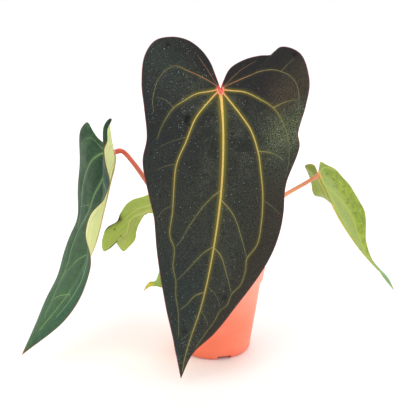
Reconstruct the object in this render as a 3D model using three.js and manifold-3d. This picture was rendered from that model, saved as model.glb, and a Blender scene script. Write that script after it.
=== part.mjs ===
// A potted anthurium hybrid: five heart-shaped leaves on tall stalks, in a 12 cm plastic nursery pot.
// Millimetres, +Z up. The origin is the middle of the pot's underside; the large leaf hangs towards -Y.
import * as THREE from 'three';
import { mergeVertices } from 'three/addons/utils/BufferGeometryUtils.js';
import Module from 'manifold-3d';

const wasm = await Module();
wasm.setup();

// Driving dimensions
const CLEARANCE = 0.3; // between pieces that touch
const POT = {
  height: 106,
  baseRadius: 42.6,
  topRadius: 60.5,
  wall: 1.5,
  floor: 2,
  heelRadius: 5,
  rimDepth: 16,
  rimStep: 2.2,
  lipRound: 0.6,
  sides: 56,
};
const DRAIN = {
  count: 4,
  firstAngle: -74.5,
  width: 17,
  height: 5,
  start: 14,
  holeRadius: 4.5,
  holeAt: 27,
  overcut: 1,
};
const MIX = { top: 91, relief: 0.5, rings: [0.86, 0.7, 0.52, 0.34, 0.17] };
const CHIP = {
  count: 30,
  seed: 7,
  reach: [15, 47],
  length: [7, 13],
  width: [4, 8],
  depth: [3, 5],
  lift: [0.4, 1.4],
  taper: [0.65, 0.95],
  tilt: [-0.35, 0.35],
};
const STEM = { radius: 8.5, bottom: 55, top: 111, crown: 0.86, scar: 0.06, steps: 18, sides: 12 };
const ROOT = {
  count: 5,
  radius: 2.4,
  tipRadius: 1.4,
  leave: 95,
  reach: 21,
  bottom: 76,
  steps: 7,
  sides: 6,
};
const BLADE = { thickness: 0.9, keel: 1.1, keelShare: 0.07, puffStart: 0.1, puffFull: 0.45 };
const STALK = { sides: 8, jointSwell: 0.35, jointStart: 0.94 };

// Each leaf is drawn by its midrib, from the notch where the stalk joins to the tip, and by rows: how far
// along the midrib a row starts, then the left and right edge where it ends, seen with the upper face up
// and the tip away. bulge is how far the halves puff up, frill the waves along the edge; both fade
// towards the notch, where the rows lie close together.
const LEAVES = {
  leaf_front: {
    colour: '#3d423c',
    steps: 42,
    strips: 5,
    bulge: 5,
    frill: { height: 1.6, waves: 7 },
    rib: [
      [5, -72, 327], [7, -81, 305], [8, -90, 277], [6, -102, 227], [-2, -110, 165],
      [-14, -112, 104], [-29, -112, 54], [-38, -107, 11],
    ],
    rows: [
      [3, [1, -68, 338], [8.4, -65.5, 334.8]],
      [6, [-5, -61, 352], [15.8, -58, 346.5]],
      [9, [-16, -55, 366], [30.4, -53.5, 354.6]],
      [12, [-30, -51, 375], [46.2, -50.5, 358.4]],
      [16, [-46, -50, 378], [60, -49.5, 359.6]],
      [26, [-63, -52, 374], [69.5, -47.5, 366.8]],
      [34, [-74, -58, 359], [89.4, -50, 360.4]],
      [42, [-77, -66, 333], [98.6, -57.5, 334]],
      [51, [-74, -73, 307], [94, -66, 307]],
      [63, [-72, -80, 277], [87, -74, 281]],
      [80, [-76, -86, 254], [88, -78, 268]],
      [110, [-71, -91, 223], [74, -85, 227]],
      [143, [-65, -96, 192], [72, -90, 192]],
      [176, [-62, -100, 160], [62, -95, 159]],
      [209, [-58, -104, 127], [43, -99, 124]],
      [241, [-53, -106, 95], [21, -103, 94]],
      [270, [-47, -108, 67], [-1, -106, 66]],
      [297, [-43, -108, 42], [-25, -108, 41]],
    ],
    stalk: {
      steps: 24,
      base: 3.6,
      top: 2.7,
      points: [
        [0, -5, 104], [2, -6, 122], [4, -4, 160], [5, 0, 245], [5, -2, 291], [5, -14, 310],
        [5, -42, 319], [5, -73, 324],
      ],
    },
  },
  leaf_left: {
    colour: '#53705a',
    steps: 36,
    strips: 5,
    bulge: 4,
    frill: { height: 1.2, waves: 6 },
    rib: [
      [-112, -25, 248], [-113, -29, 236], [-118, -38, 215], [-125, -47, 186], [-137, -57, 144],
      [-165, -66, 95], [-192, -70, 61], [-221, -70, 21],
    ],
    rows: [
      [2.5, [-118.5, -14, 249.6], [-115.2, -32, 259.9]],
      [7, [-127, 0, 253], [-115.9, -41, 272]],
      [15, [-136, 13, 257], [-112.5, -60, 293]],
      [25, [-143, 24, 263], [-117.2, -69, 286]],
      [36, [-150, 34, 270], [-117.4, -76, 273]],
      [43, [-157, 38, 260], [-115, -80, 256]],
      [50, [-161, 37, 236], [-114, -83, 240]],
      [58, [-161, 32, 210], [-112, -84, 225]],
      [67, [-162, 25, 184], [-117, -86, 211]],
      [81, [-164, 15, 159], [-132, -93, 198]],
      [98, [-170, 3, 140], [-136, -98, 179]],
      [120, [-179, -10, 116], [-133, -98, 153]],
      [146, [-186, -24, 95], [-137, -93, 129]],
      [176, [-196, -38, 74], [-147, -87, 100]],
      [208, [-205, -52, 55], [-170, -81, 67]],
    ],
    stalk: {
      steps: 22,
      base: 3.5,
      top: 2.6,
      points: [
        [-5, 1, 100], [-13, 1, 115], [-30, 0, 136], [-62, -2, 180], [-79, -7, 210],
        [-93, -12, 233], [-105, -18, 248], [-113, -24, 248],
      ],
    },
  },
  leaf_right: {
    colour: '#a2b552',
    steps: 30,
    strips: 4,
    bulge: 3,
    frill: { height: 0.8, waves: 5 },
    rib: [
      [125, 45, 205], [130, 45, 195], [141, 42, 173], [157, 39, 144], [180, 34, 111],
      [200, 28, 89], [211, 25, 77], [221, 19, 63],
    ],
    rows: [
      [4, [128, 54, 214], [121, 54, 213]],
      [8, [130, 60, 216], [116, 60, 213]],
      [12, [138, 64, 211], [111, 66, 209]],
      [17, [149, 66, 205], [115, 72, 199]],
      [23, [160, 66, 193], [121, 76, 185]],
      [31, [171, 64, 180], [126, 80, 167]],
      [41, [180, 61, 166], [139, 84, 161]],
      [53, [186, 57, 153], [152, 84, 151]],
      [68, [188, 52, 137], [165, 78, 133]],
      [86, [188, 47, 122], [176, 68, 117]],
      [105, [191, 41, 107], [186, 56, 105]],
      [122, [197, 35, 94], [195, 44, 95]],
      [137, [203, 29, 86], [205, 34, 85]],
      [153, [210, 24, 76], [214, 26, 77]],
    ],
    stalk: {
      steps: 18,
      base: 3.3,
      top: 2.4,
      points: [
        [5, 2, 98], [12, 5, 113], [28, 11, 134], [52, 20, 161], [82, 30, 181], [110, 39, 195],
        [125, 44, 203],
      ],
    },
  },
  leaf_back_left: {
    colour: '#a6bf5b',
    steps: 28,
    strips: 4,
    bulge: 2,
    frill: { height: 0.8, waves: 4 },
    rib: [
      [-41, 28, 177], [-65, 24, 169], [-84, 20, 163], [-98, 14, 155], [-107, 8, 141],
      [-117, 0, 133],
    ],
    rows: [
      [5, [-33, 38, 161], [-39, 32, 192]],
      [12, [-42, 46, 144], [-58, 34, 196]],
      [24, [-64, 40, 155], [-81, 31, 182]],
      [33, [-76, 34, 158], [-89, 28, 180]],
      [42, [-83, 31, 158], [-97, 26, 178]],
      [50, [-87, 27, 155], [-105, 23, 173]],
      [58, [-91, 25, 147], [-112, 20, 163]],
      [66, [-94, 22, 139], [-116, 17, 153]],
      [74, [-96, 19, 130], [-128, 15, 145]],
      [82, [-101, 16, 123], [-134, 12, 134]],
      [88, [-105, 12, 120], [-135, 9, 125]],
      [93, [-109, 8, 119], [-132, 5, 120]],
    ],
    stalk: {
      steps: 12,
      base: 3.0,
      top: 2.2,
      points: [[-2, 6, 94], [-7, 15, 111], [-15, 23, 137], [-27, 28, 160], [-41, 29, 177]],
    },
  },
  leaf_small: {
    colour: '#5c6f35',
    steps: 16,
    strips: 3,
    bulge: 1.5,
    frill: { height: 0.5, waves: 3 },
    rib: [
      [-52, -16, 129], [-58, -19, 114], [-62, -20, 102], [-68, -20, 91], [-76, -21, 89],
      [-84, -23, 80],
    ],
    rows: [
      [3, [-51, -6, 130], [-50, -26, 129]],
      [8, [-60, 0, 122], [-51, -34, 122]],
      [18, [-62.6, 1, 104], [-56, -39, 108]],
      [29, [-66.7, -2, 92.8], [-60, -36, 91]],
      [40, [-70.2, -9, 86.5], [-68, -30, 89]],
      [48, [-77, -17, 89], [-76, -26, 87]],
    ],
    stalk: {
      steps: 12,
      base: 2.8,
      top: 2.0,
      points: [[-5, -4, 91], [-14, -9, 109], [-28, -13, 126], [-42, -15, 132], [-51, -16, 126]],
    },
  },
};

const vector = (point) => new THREE.Vector3(...point);
const smoothCurve = (points) => new THREE.CatmullRomCurve3(points.map(vector));

// A closed geometry from its corner points and the triangles between them.
function geometryFrom(points, triangles) {
  const geometry = new THREE.BufferGeometry();
  const positions = points.flatMap((point) => point.toArray());
  geometry.setAttribute('position', new THREE.Float32BufferAttribute(positions, 3));
  geometry.setIndex(triangles.flat());
  return geometry;
}

// A closed geometry as a solid that can be joined and cut, and back.
function solidFrom(geometry) {
  const bare = geometry.clone();
  bare.deleteAttribute('normal');
  bare.deleteAttribute('uv');
  const merged = mergeVertices(bare, 1e-4);
  const corners = [...merged.index.array];
  const triVerts = corners.filter((_, i) => {
    const [a, b, c] = corners.slice(i - (i % 3), i - (i % 3) + 3);
    return a !== b && b !== c && c !== a;
  });
  return new wasm.Manifold(new wasm.Mesh({
    numProp: 3,
    vertProperties: new Float32Array(merged.attributes.position.array),
    triVerts: new Uint32Array(triVerts),
  }));
}

function geometryOf(solid) {
  const { vertProperties, triVerts } = solid.getMesh();
  const geometry = new THREE.BufferGeometry();
  geometry.setAttribute('position', new THREE.BufferAttribute(new Float32Array(vertProperties), 3));
  geometry.setIndex(new THREE.BufferAttribute(new Uint32Array(triVerts), 1));
  geometry.computeVertexNormals();
  return geometry;
}

const joined = (solids) => solids.reduce((sum, solid) => sum.add(solid));
const cutBy = (solid, cutters) => cutters.reduce((rest, cutter) => rest.subtract(cutter), solid);
const largestPiece = (solid) => solid.decompose().reduce((a, b) => (a.volume() > b.volume() ? a : b));

// The profile given as [radius, height] pairs, turned about Z.
function turnedGeometry(profile) {
  const outline = profile.map(([radius, height]) => new THREE.Vector2(radius, height));
  return new THREE.LatheGeometry(outline, POT.sides).rotateX(Math.PI / 2);
}

// A round stalk along a curve; radiusAt gives its radius at each fraction of its length, and grow
// makes it larger all round, ends included.
function stalkSolid(curve, radiusAt, { steps, sides, grow }) {
  const { tangents, normals, binormals } = curve.computeFrenetFrames(steps, false);
  const centres = tangents.map((_, i) => curve.getPointAt(i / steps));
  centres[0].addScaledVector(tangents[0], -grow);
  centres[steps].addScaledVector(tangents[steps], grow);
  const points = [];
  const triangles = [];
  for (let i = 0; i <= steps; i += 1) {
    const radius = radiusAt(i / steps) + grow;
    for (let k = 0; k < sides; k += 1) {
      const turn = (k / sides) * 2 * Math.PI;
      points.push(centres[i].clone()
        .addScaledVector(normals[i], radius * Math.cos(turn))
        .addScaledVector(binormals[i], radius * Math.sin(turn)));
      if (i === 0) continue;
      const [a, b] = [i * sides + k, i * sides + ((k + 1) % sides)];
      triangles.push([a - sides, b - sides, b], [a - sides, b, a]);
    }
  }
  const [first, last] = [points.length, points.length + 1];
  points.push(centres[0], centres[steps]);
  for (let k = 0; k < sides; k += 1) {
    const next = (k + 1) % sides;
    triangles.push([first, next, k], [last, steps * sides + k, steps * sides + next]);
  }
  return solidFrom(geometryFrom(points, triangles));
}

// Unit normals at the points of a sheet of triangles.
function sheetNormals(points, triangles) {
  const sheet = geometryFrom(points, triangles);
  sheet.computeVertexNormals();
  return points.map((_, i) => new THREE.Vector3().fromBufferAttribute(sheet.attributes.normal, i));
}

// A blade: a sheet ruled from the midrib to both edges, puffed and waved along its normals, then given
// its thickness with the same triangles on both faces and a keel under the midrib.
function bladeGeometry({ rib: ribPoints, rows, steps, strips, bulge, frill }, grow = 0) {
  const rib = smoothCurve(ribPoints);
  const edge = (side) => smoothCurve([ribPoints[0], ...rows.map((row) => row[side]), ribPoints.at(-1)]);
  const [left, right] = [edge(1), edge(2)];
  const length = rib.getLength();
  const starts = smoothCurve([0, ...rows.map(([start]) => start), length].map((start) => [start, 0, 0]));
  const ribPoint = (t) => rib.getPointAt(starts.getPoint(t).x / length);
  const shares = Array.from({ length: strips }, (_, k) => {
    return BLADE.keelShare + ((1 - BLADE.keelShare) * k) / (strips - 1);
  });
  const across = [...shares.toReversed().map((share) => -share), 0, ...shares];
  const sheet = [rib.getPoint(0)];
  const places = [{ w: 1, t: 0, width: 0 }];
  for (let i = 1; i < steps; i += 1) {
    const t = i / steps;
    const [middle, leftEdge, rightEdge] = [ribPoint(t), left.getPoint(t), right.getPoint(t)];
    const width = leftEdge.distanceTo(rightEdge);
    across.forEach((share) => {
      const w = Math.abs(share);
      sheet.push(middle.clone().lerp(share < 0 ? leftEdge : rightEdge, w));
      places.push({ w, t, width });
    });
  }
  sheet.push(rib.getPoint(1));
  places.push({ w: 1, t: 1, width: 0 });

  const columns = across.length;
  const tip = sheet.length - 1;
  const at = (i, j) => 1 + (i - 1) * columns + j;
  const triangles = [];
  const middleColumn = (columns - 1) / 2;
  for (let j = 0; j < columns - 1; j += 1) {
    triangles.push([0, at(1, j), at(1, j + 1)]);
    for (let i = 1; i < steps - 1; i += 1) {
      const [a, b, c, d] = [at(i, j), at(i, j + 1), at(i + 1, j + 1), at(i + 1, j)];
      triangles.push(...(j < middleColumn ? [[a, d, c], [a, c, b]] : [[a, d, b], [b, d, c]]));
    }
    triangles.push([tip, at(steps - 1, j + 1), at(steps - 1, j)]);
  }

  const widest = Math.max(...places.map(({ width }) => width));
  const flatNormals = sheetNormals(sheet, triangles);
  const surface = sheet.map((point, i) => {
    const { w, t, width } = places[i];
    const puff = bulge * 4 * w * (1 - w);
    const wave = frill.height * w ** 2 * Math.sin(2 * Math.PI * frill.waves * t);
    const fade = THREE.MathUtils.smoothstep(t, BLADE.puffStart, BLADE.puffFull);
    return point.clone().addScaledVector(flatNormals[i], (puff + wave) * fade * (width / widest));
  });
  const normals = sheetNormals(surface, triangles);
  const rim = [0];
  for (let i = 1; i < steps; i += 1) rim.push(at(i, 0));
  rim.push(tip);
  for (let i = steps - 1; i > 0; i -= 1) rim.push(at(i, columns - 1));
  const spread = [...surface];
  rim.forEach((corner, k) => {
    const along = surface[rim[(k + 1) % rim.length]].clone().sub(surface[rim.at(k - 1)]);
    const outward = along.cross(normals[corner]).normalize();
    spread[corner] = surface[corner].clone().addScaledVector(outward, grow);
  });
  const half = BLADE.thickness / 2 + grow;
  const upper = spread.map((point, i) => point.clone().addScaledVector(normals[i], half));
  const lower = spread.map((point, i) => {
    const { w, width } = places[i];
    const keel = w === 0 ? BLADE.keel * Math.sqrt(width / widest) : 0;
    return point.clone().addScaledVector(normals[i], -half - keel);
  });

  const under = upper.length;
  const walls = rim.flatMap((a, k) => {
    const b = rim[(k + 1) % rim.length];
    return [[a, a + under, b + under], [a, b + under, b]];
  });
  const underside = triangles.map(([a, b, c]) => [a + under, c + under, b + under]);
  return geometryFrom([...upper, ...lower], [...triangles, ...underside, ...walls]);
}

// The pot's outer wall leans out evenly from its base to the rim; the rim band stands proud of it.
const wallRadius = (height) => {
  const lean = (POT.topRadius - POT.rimStep - POT.baseRadius) / POT.height;
  return POT.baseRadius + lean * height;
};
const rimFoot = POT.height - POT.rimDepth;
const wallTop = rimFoot - POT.rimStep;

// The inside of the pot as a profile from the floor to a height above the step, drawn in by a gap.
function innerProfile(gap, top) {
  const inset = POT.wall + gap;
  return [
    [wallRadius(POT.floor + gap) - inset, POT.floor + gap],
    [wallRadius(wallTop) - inset, wallTop],
    [wallRadius(rimFoot) + POT.rimStep - inset, rimFoot],
    [wallRadius(top) + POT.rimStep - inset, top],
  ];
}

// A box lying along a drain channel, from near the middle of the floor out past the wall.
function drainBox(index, { width, height, start, end }) {
  const box = new THREE.BoxGeometry(end - start, width, height + DRAIN.overcut);
  box.translate((start + end) / 2, 0, (height - DRAIN.overcut) / 2);
  box.rotateZ(THREE.MathUtils.degToRad(DRAIN.firstAngle + (360 / DRAIN.count) * index));
  return solidFrom(box);
}

function drainBoxes(grow, end) {
  return Array.from({ length: DRAIN.count }, (_, index) => drainBox(index, {
    width: DRAIN.width + 2 * grow,
    height: DRAIN.height + grow,
    start: DRAIN.start - grow,
    end,
  }));
}

function drainHole(index) {
  const hole = new THREE.CylinderGeometry(DRAIN.holeRadius, DRAIN.holeRadius, 4 * DRAIN.height, 16);
  hole.rotateX(Math.PI / 2);
  hole.translate(DRAIN.holeAt, 0, DRAIN.height);
  hole.rotateZ(THREE.MathUtils.degToRad(DRAIN.firstAngle + (360 / DRAIN.count) * index));
  return solidFrom(hole);
}

function potSolid() {
  const heel = [0, 1, 2, 3, 4].map((k) => {
    const turn = (k / 4) * (Math.PI / 2);
    return [
      wallRadius(POT.heelRadius) - POT.heelRadius * (1 - Math.sin(turn)),
      POT.heelRadius * (1 - Math.cos(turn)),
    ];
  });
  const outside = [
    ...heel,
    [wallRadius(wallTop), wallTop],
    [wallRadius(rimFoot) + POT.rimStep, rimFoot],
    [POT.topRadius, POT.height - POT.lipRound],
    [POT.topRadius - POT.lipRound, POT.height],
  ];
  const body = solidFrom(turnedGeometry([[0, 0], ...outside, [0, POT.height]]));
  const inside = innerProfile(0, POT.height + 1);
  const hollow = solidFrom(turnedGeometry([[0, POT.floor], ...inside, [0, POT.height + 1]]));
  const covers = drainBoxes(POT.wall, POT.topRadius);
  const shell = body.subtract(hollow.subtract(joined(covers)));
  const holes = Array.from({ length: DRAIN.count }, (_, index) => drainHole(index));
  return cutBy(shell, [...drainBoxes(0, POT.topRadius), ...holes]);
}

// The same seeded random stream every time.
function randomStream(seed) {
  let state = seed;
  return () => {
    state = (state + 0x6d2b79f5) | 0;
    let mixed = Math.imul(state ^ (state >>> 15), 1 | state);
    mixed = (mixed + Math.imul(mixed ^ (mixed >>> 7), 61 | mixed)) ^ mixed;
    return ((mixed ^ (mixed >>> 14)) >>> 0) / 4294967296;
  };
}

// One chip of bark, lying nearly flat and sunk into the surface of the mix.
function barkChip(random) {
  const between = ([least, most]) => THREE.MathUtils.lerp(least, most, random());
  const chip = new THREE.BoxGeometry(between(CHIP.length), between(CHIP.width), between(CHIP.depth));
  const corners = chip.attributes.position;
  const taper = between(CHIP.taper);
  for (let i = 0; i < corners.count; i += 1) {
    if (corners.getX(i) > 0) corners.setY(i, corners.getY(i) * taper);
    if (corners.getZ(i) > 0) corners.setX(i, corners.getX(i) * taper);
  }
  chip.rotateX(between(CHIP.tilt));
  chip.rotateY(between(CHIP.tilt));
  chip.rotateZ(between([0, Math.PI]));
  const reach = between(CHIP.reach);
  const around = between([0, 2 * Math.PI]);
  chip.translate(reach * Math.cos(around), reach * Math.sin(around), MIX.top + between(CHIP.lift));
  return solidFrom(chip);
}

// The potting mix fills the pot over the drain channels; its top is uneven and scattered with bark.
function mixSolid(neighbours) {
  const inside = innerProfile(CLEARANCE, MIX.top);
  const edge = inside[inside.length - 1][0];
  const top = MIX.rings.map((share) => [edge * share, MIX.top]);
  const fill = turnedGeometry([[0, POT.floor + CLEARANCE], ...inside, ...top, [0, MIX.top]]);
  const points = fill.attributes.position;
  for (let i = 0; i < points.count; i += 1) {
    const [x, y, z] = [points.getX(i), points.getY(i), points.getZ(i)];
    if (z < MIX.top - 0.01 || Math.hypot(x, y) > 0.95 * edge) continue;
    const lumps = Math.sin(0.31 * x + 1.3) * Math.cos(0.27 * y) + 0.6 * Math.sin(0.55 * (x - y));
    points.setZ(i, z + MIX.relief * lumps);
  }
  const random = randomStream(CHIP.seed);
  const chips = Array.from({ length: CHIP.count }, () => barkChip(random));
  const filled = cutBy(solidFrom(fill), drainBoxes(POT.wall + CLEARANCE, POT.topRadius));
  return largestPiece(cutBy(filled.add(joined(chips)), neighbours));
}

// The stem stands in the mix: leaf scars ring it, and stout roots arch out of it into the mix.
const stemCurve = smoothCurve([[0, 0, STEM.bottom], [1, 0, 74], [0, 1, 92], [0, 0, STEM.top]]);
const stemRadius = (u) => {
  const overCrown = Math.max(0, u - STEM.crown) / (1 - STEM.crown);
  const crown = Math.sqrt(Math.max(0.06, 1 - overCrown ** 2));
  const scars = 1 + STEM.scar * Math.cos(26 * u);
  return STEM.radius * crown * scars;
};

function rootSolid(index, grow) {
  const around = (index / ROOT.count) * 2 * Math.PI + 0.5 + 0.35 * Math.sin(index * 2.4);
  const leave = ROOT.leave - 3 * (index % 3);
  const along = (reach, height) => [reach * Math.cos(around), reach * Math.sin(around), height];
  const curve = smoothCurve([
    along(3, leave - 2),
    along(STEM.radius + 3, leave - 1),
    along(ROOT.reach - 4, leave - 8),
    along(ROOT.reach, ROOT.bottom),
  ]);
  const radiusAt = (u) => THREE.MathUtils.lerp(ROOT.radius, ROOT.tipRadius, u);
  return stalkSolid(curve, radiusAt, { steps: ROOT.steps, sides: ROOT.sides, grow });
}

function stemSolid(grow) {
  const roots = Array.from({ length: ROOT.count }, (_, index) => rootSolid(index, grow));
  const trunk = stalkSolid(stemCurve, stemRadius, { steps: STEM.steps, sides: STEM.sides, grow });
  return joined([trunk, ...roots]);
}

// A leaf stalk, a little thicker at its foot and at the joint where the blade hangs from it.
function leafStalk({ stalk: { points, base, top, steps } }, grow) {
  const radiusAt = (u) => {
    const foot = (base - top) * (1 - u) ** 1.5;
    const joint = STALK.jointSwell * THREE.MathUtils.smoothstep(u, STALK.jointStart, 1);
    return top + foot + joint;
  };
  return stalkSolid(smoothCurve(points), radiusAt, { steps, sides: STALK.sides, grow });
}

const plant = new THREE.Group();

function addPiece(name, solid, color, roughness) {
  const look = new THREE.MeshStandardMaterial({ color, roughness, metalness: 0 });
  const mesh = new THREE.Mesh(geometryOf(solid), look);
  mesh.name = name;
  plant.add(mesh);
}

const leaves = Object.entries(LEAVES);
const stalks = leaves.map(([name, leaf]) => {
  const roundBlade = solidFrom(bladeGeometry(leaf, CLEARANCE));
  return [name, largestPiece(leafStalk(leaf, 0).subtract(roundBlade))];
});
const sockets = leaves.map(([, leaf]) => leafStalk(leaf, CLEARANCE));

addPiece('pot', potSolid(), '#fb8467', 0.45);
addPiece('potting_mix', mixSolid([stemSolid(CLEARANCE), ...sockets]), '#3d2b20', 0.95);
addPiece('stem', largestPiece(cutBy(stemSolid(0), sockets)), '#6d6a3a', 0.7);
stalks.forEach(([name, solid]) => addPiece(`${name}_stalk`, solid, '#c9614c', 0.4));
leaves.forEach(([name, leaf]) => {
  addPiece(`${name}_blade`, solidFrom(bladeGeometry(leaf)), leaf.colour, 0.6);
});

export default plant;
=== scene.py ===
"""A potted anthurium hybrid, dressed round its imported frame.

Five heart-shaped blades hang from coral stalks that rise from a short rooted stem in bark, in a coral nursery
pot. Sizes are millimetres in the frame's own axes until a mesh is made, because Blender works in metres.
"""

import logging
import math
from collections.abc import Sequence
from dataclasses import dataclass, field
from enum import Enum
from functools import cache

import bmesh
import bpy
import numpy as np
from mathutils import Matrix, Vector
from mathutils.bvhtree import BVHTree
from mathutils.kdtree import KDTree


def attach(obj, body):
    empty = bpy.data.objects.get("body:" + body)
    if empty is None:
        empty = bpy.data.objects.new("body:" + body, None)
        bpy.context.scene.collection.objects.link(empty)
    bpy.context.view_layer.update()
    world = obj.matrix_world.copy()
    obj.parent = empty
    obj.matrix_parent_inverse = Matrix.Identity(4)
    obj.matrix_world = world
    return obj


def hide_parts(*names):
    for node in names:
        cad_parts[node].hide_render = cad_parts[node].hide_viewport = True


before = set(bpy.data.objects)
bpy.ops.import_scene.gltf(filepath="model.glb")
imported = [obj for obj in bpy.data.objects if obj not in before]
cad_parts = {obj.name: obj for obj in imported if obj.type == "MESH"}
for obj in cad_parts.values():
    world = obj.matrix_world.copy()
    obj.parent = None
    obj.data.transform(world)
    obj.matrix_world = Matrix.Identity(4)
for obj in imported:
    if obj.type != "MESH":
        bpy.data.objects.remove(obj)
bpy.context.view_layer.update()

log = logging.getLogger("anthurium")

# One millimetre in metres, and a distance in millimetres that is farther than anything on the plant.
MM = 0.001
FAR = 1000.0
Point = tuple[float, float, float]


# ---- small tools ----


def linear(colour: str) -> tuple[float, float, float, float]:
    """Turns an sRGB hex colour into the linear colour that shaders take.

    Args:
        colour: the colour, such as "#ff8a6b".

    Returns:
        Linear red, green, blue and an alpha of 1.
    """
    channels = [int(colour[i : i + 2], 16) / 255 for i in (1, 3, 5)]
    curve = [c / 12.92 if c <= 0.04045 else ((c + 0.055) / 1.055) ** 2.4 for c in channels]
    return (*curve, 1.0)


def add_node(
    tree: bpy.types.NodeTree,
    kind: str,
    settings: dict | None = None,
    links: dict | None = None,
) -> bpy.types.Node:
    """Adds a shader node with its settings and its incoming links.

    Args:
        tree: the material's node tree.
        kind: the node's type name.
        settings: properties of the node, or default values of its inputs by name or number.
        links: output sockets by the input that each one feeds.

    Returns:
        The new node.
    """
    node = tree.nodes.new(kind)
    for name, value in (settings or {}).items():
        if isinstance(name, int) or name in node.inputs:
            node.inputs[name].default_value = value
        else:
            setattr(node, name, value)
    for name, socket in (links or {}).items():
        tree.links.new(socket, node.inputs[name])
    return node


def link(name: str, data: bpy.types.ID) -> bpy.types.Object:
    """Makes an object of a mesh, a lamp or a camera, and links it to the scene."""
    thing = bpy.data.objects.new(name, data)
    bpy.context.scene.collection.objects.link(thing)
    return thing


def make_piece(
    name: str,
    points: np.ndarray,
    faces: Sequence[Sequence[int]],
    materials: Sequence[bpy.types.Material],
    slots: np.ndarray | None = None,
) -> bpy.types.Object:
    """Makes a smooth mesh piece that rides on the part's one body.

    Args:
        name: the piece's name.
        points: its corners in millimetres.
        faces: corner numbers of each face.
        materials: the materials its faces use.
        slots: the material number of each face, or None where all take the first.

    Returns:
        The piece, linked to the scene.
    """
    mesh = bpy.data.meshes.new(name)
    mesh.from_pydata((np.asarray(points) * MM).tolist(), [], faces)
    for material in materials:
        mesh.materials.append(material)
    if slots is not None:
        mesh.polygons.foreach_set("material_index", np.asarray(slots, np.int32))
    mesh.polygons.foreach_set("use_smooth", np.ones(len(mesh.polygons), bool))
    mesh.validate()
    piece = link(name, mesh)
    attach(piece, "root")
    return piece


def paint(piece: bpy.types.Object, name: str, values: np.ndarray) -> None:
    """Stores one number or one vector for each corner of a piece, for its material to read.

    Args:
        piece: the mesh piece.
        name: the attribute's name.
        values: an array of one number, or of three, for each corner.
    """
    flat = values.ndim == 1
    layer = piece.data.attributes.new(name, "FLOAT" if flat else "FLOAT_VECTOR", "POINT")
    layer.data.foreach_set("value" if flat else "vector", np.asarray(values, np.float32).ravel())


def smoothstep(values: np.ndarray, low: float, high: float) -> np.ndarray:
    """Rises smoothly from 0 at low to 1 at high."""
    share = np.clip((values - low) / (high - low), 0, 1)
    return share * share * (3 - 2 * share)


def unit(vectors: np.ndarray) -> np.ndarray:
    """Scales vectors to length 1, and leaves zero vectors alone."""
    return vectors / np.maximum(np.linalg.norm(vectors, axis=-1, keepdims=True), 1e-12)


def between(start: float, end: float, share: np.ndarray) -> np.ndarray:
    """Gives the values at shares of the way from start to end."""
    return start + (end - start) * share


def search_tree(points: np.ndarray) -> KDTree:
    """Makes a tree that finds the nearest of some points."""
    tree = KDTree(len(points))
    for index, point in enumerate(points):
        tree.insert(point, index)
    tree.balance()
    return tree


class SmoothCurve:
    """A centripetal Catmull-Rom curve, the curve that the solids of the leaves and stalks follow."""

    def __init__(self, points: Sequence[Sequence[float]], divisions: int = 200) -> None:
        """Measures the curve.

        Args:
            points: the points that it passes through.
            divisions: how finely its length is measured.
        """
        self.points = np.asarray(points, float)
        self.places = np.linspace(0, 1, divisions + 1)
        steps = np.linalg.norm(np.diff(self.at(self.places), axis=0), axis=1)
        self.lengths = np.concatenate([[0], np.cumsum(steps)])
        self.length = float(self.lengths[-1])

    def at(self, t: np.ndarray) -> np.ndarray:
        """Gives points on the curve.

        Args:
            t: places from 0 to 1, with as much of that for each span between two points.

        Returns:
            One point for each place.
        """
        p = self.points
        x = np.clip(t, 0, 1) * (len(p) - 1)
        i = np.minimum(x.astype(int), len(p) - 2)
        w = (x - i)[:, None]
        padded = np.vstack([2 * p[0] - p[1], p, 2 * p[-1] - p[-2]])
        before, start, end, after = (padded[i + k] for k in range(4))
        d0, d1, d2 = (
            np.maximum(np.sqrt(np.linalg.norm(b - a, axis=1)), 1e-4)[:, None]
            for a, b in ((before, start), (start, end), (end, after))
        )
        leave = ((start - before) / d0 - (end - before) / (d0 + d1) + (end - start) / d1) * d1
        arrive = ((end - start) / d1 - (after - start) / (d1 + d2) + (after - end) / d2) * d1
        square = 3 * (end - start) - 2 * leave - arrive
        cube = 2 * (start - end) + leave + arrive
        return start + leave * w + square * w**2 + cube * w**3

    def along(self, share: np.ndarray) -> np.ndarray:
        """Gives points at shares of the curve's length, from 0 to 1."""
        return self.at(np.interp(np.asarray(share) * self.length, self.lengths, self.places))


def frames(path: np.ndarray) -> tuple[np.ndarray, np.ndarray]:
    """Carries a cross-section's directions along a path without twisting.

    Args:
        path: points along the path.

    Returns:
        Two directions across the path at each point.
    """
    tangents = unit(np.gradient(path, axis=0))
    start = np.cross(tangents[0], (0.0, 0.0, 1.0))
    if np.linalg.norm(start) < 0.2:
        start = np.cross(tangents[0], (1.0, 0.0, 0.0))
    sides = [unit(start)]
    for tangent in tangents[1:]:
        sides.append(unit(sides[-1] - tangent * float(sides[-1] @ tangent)))
    side = np.array(sides)
    return side, np.cross(tangents, side)


def ring_angles(sides: int) -> np.ndarray:
    """Gives the angles at which the corners of a ring stand."""
    return np.arange(sides) / sides * 2 * np.pi


def lay_rings(
    path: np.ndarray, side: np.ndarray, other: np.ndarray, wide: np.ndarray, high: np.ndarray
) -> np.ndarray:
    """Lays a ring of corners about each point of a path.

    Args:
        path: the path's points.
        side: a direction across the path at each point.
        other: the direction a quarter turn on from it.
        wide: how far each corner stands out along the first direction.
        high: how far it stands out along the second.

    Returns:
        The corners, ring after ring.
    """
    return (path[:, None] + side[:, None] * wide[..., None] + other[:, None] * high[..., None]).reshape(-1, 3)


def round_rings(path: np.ndarray, radius: np.ndarray | float, sides: int) -> np.ndarray:
    """Lays round rings about a path, with one radius for all, for each ring or for each corner."""
    turns = ring_angles(sides)
    return lay_rings(path, *frames(path), np.cos(turns) * radius, np.sin(turns) * radius)


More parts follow.
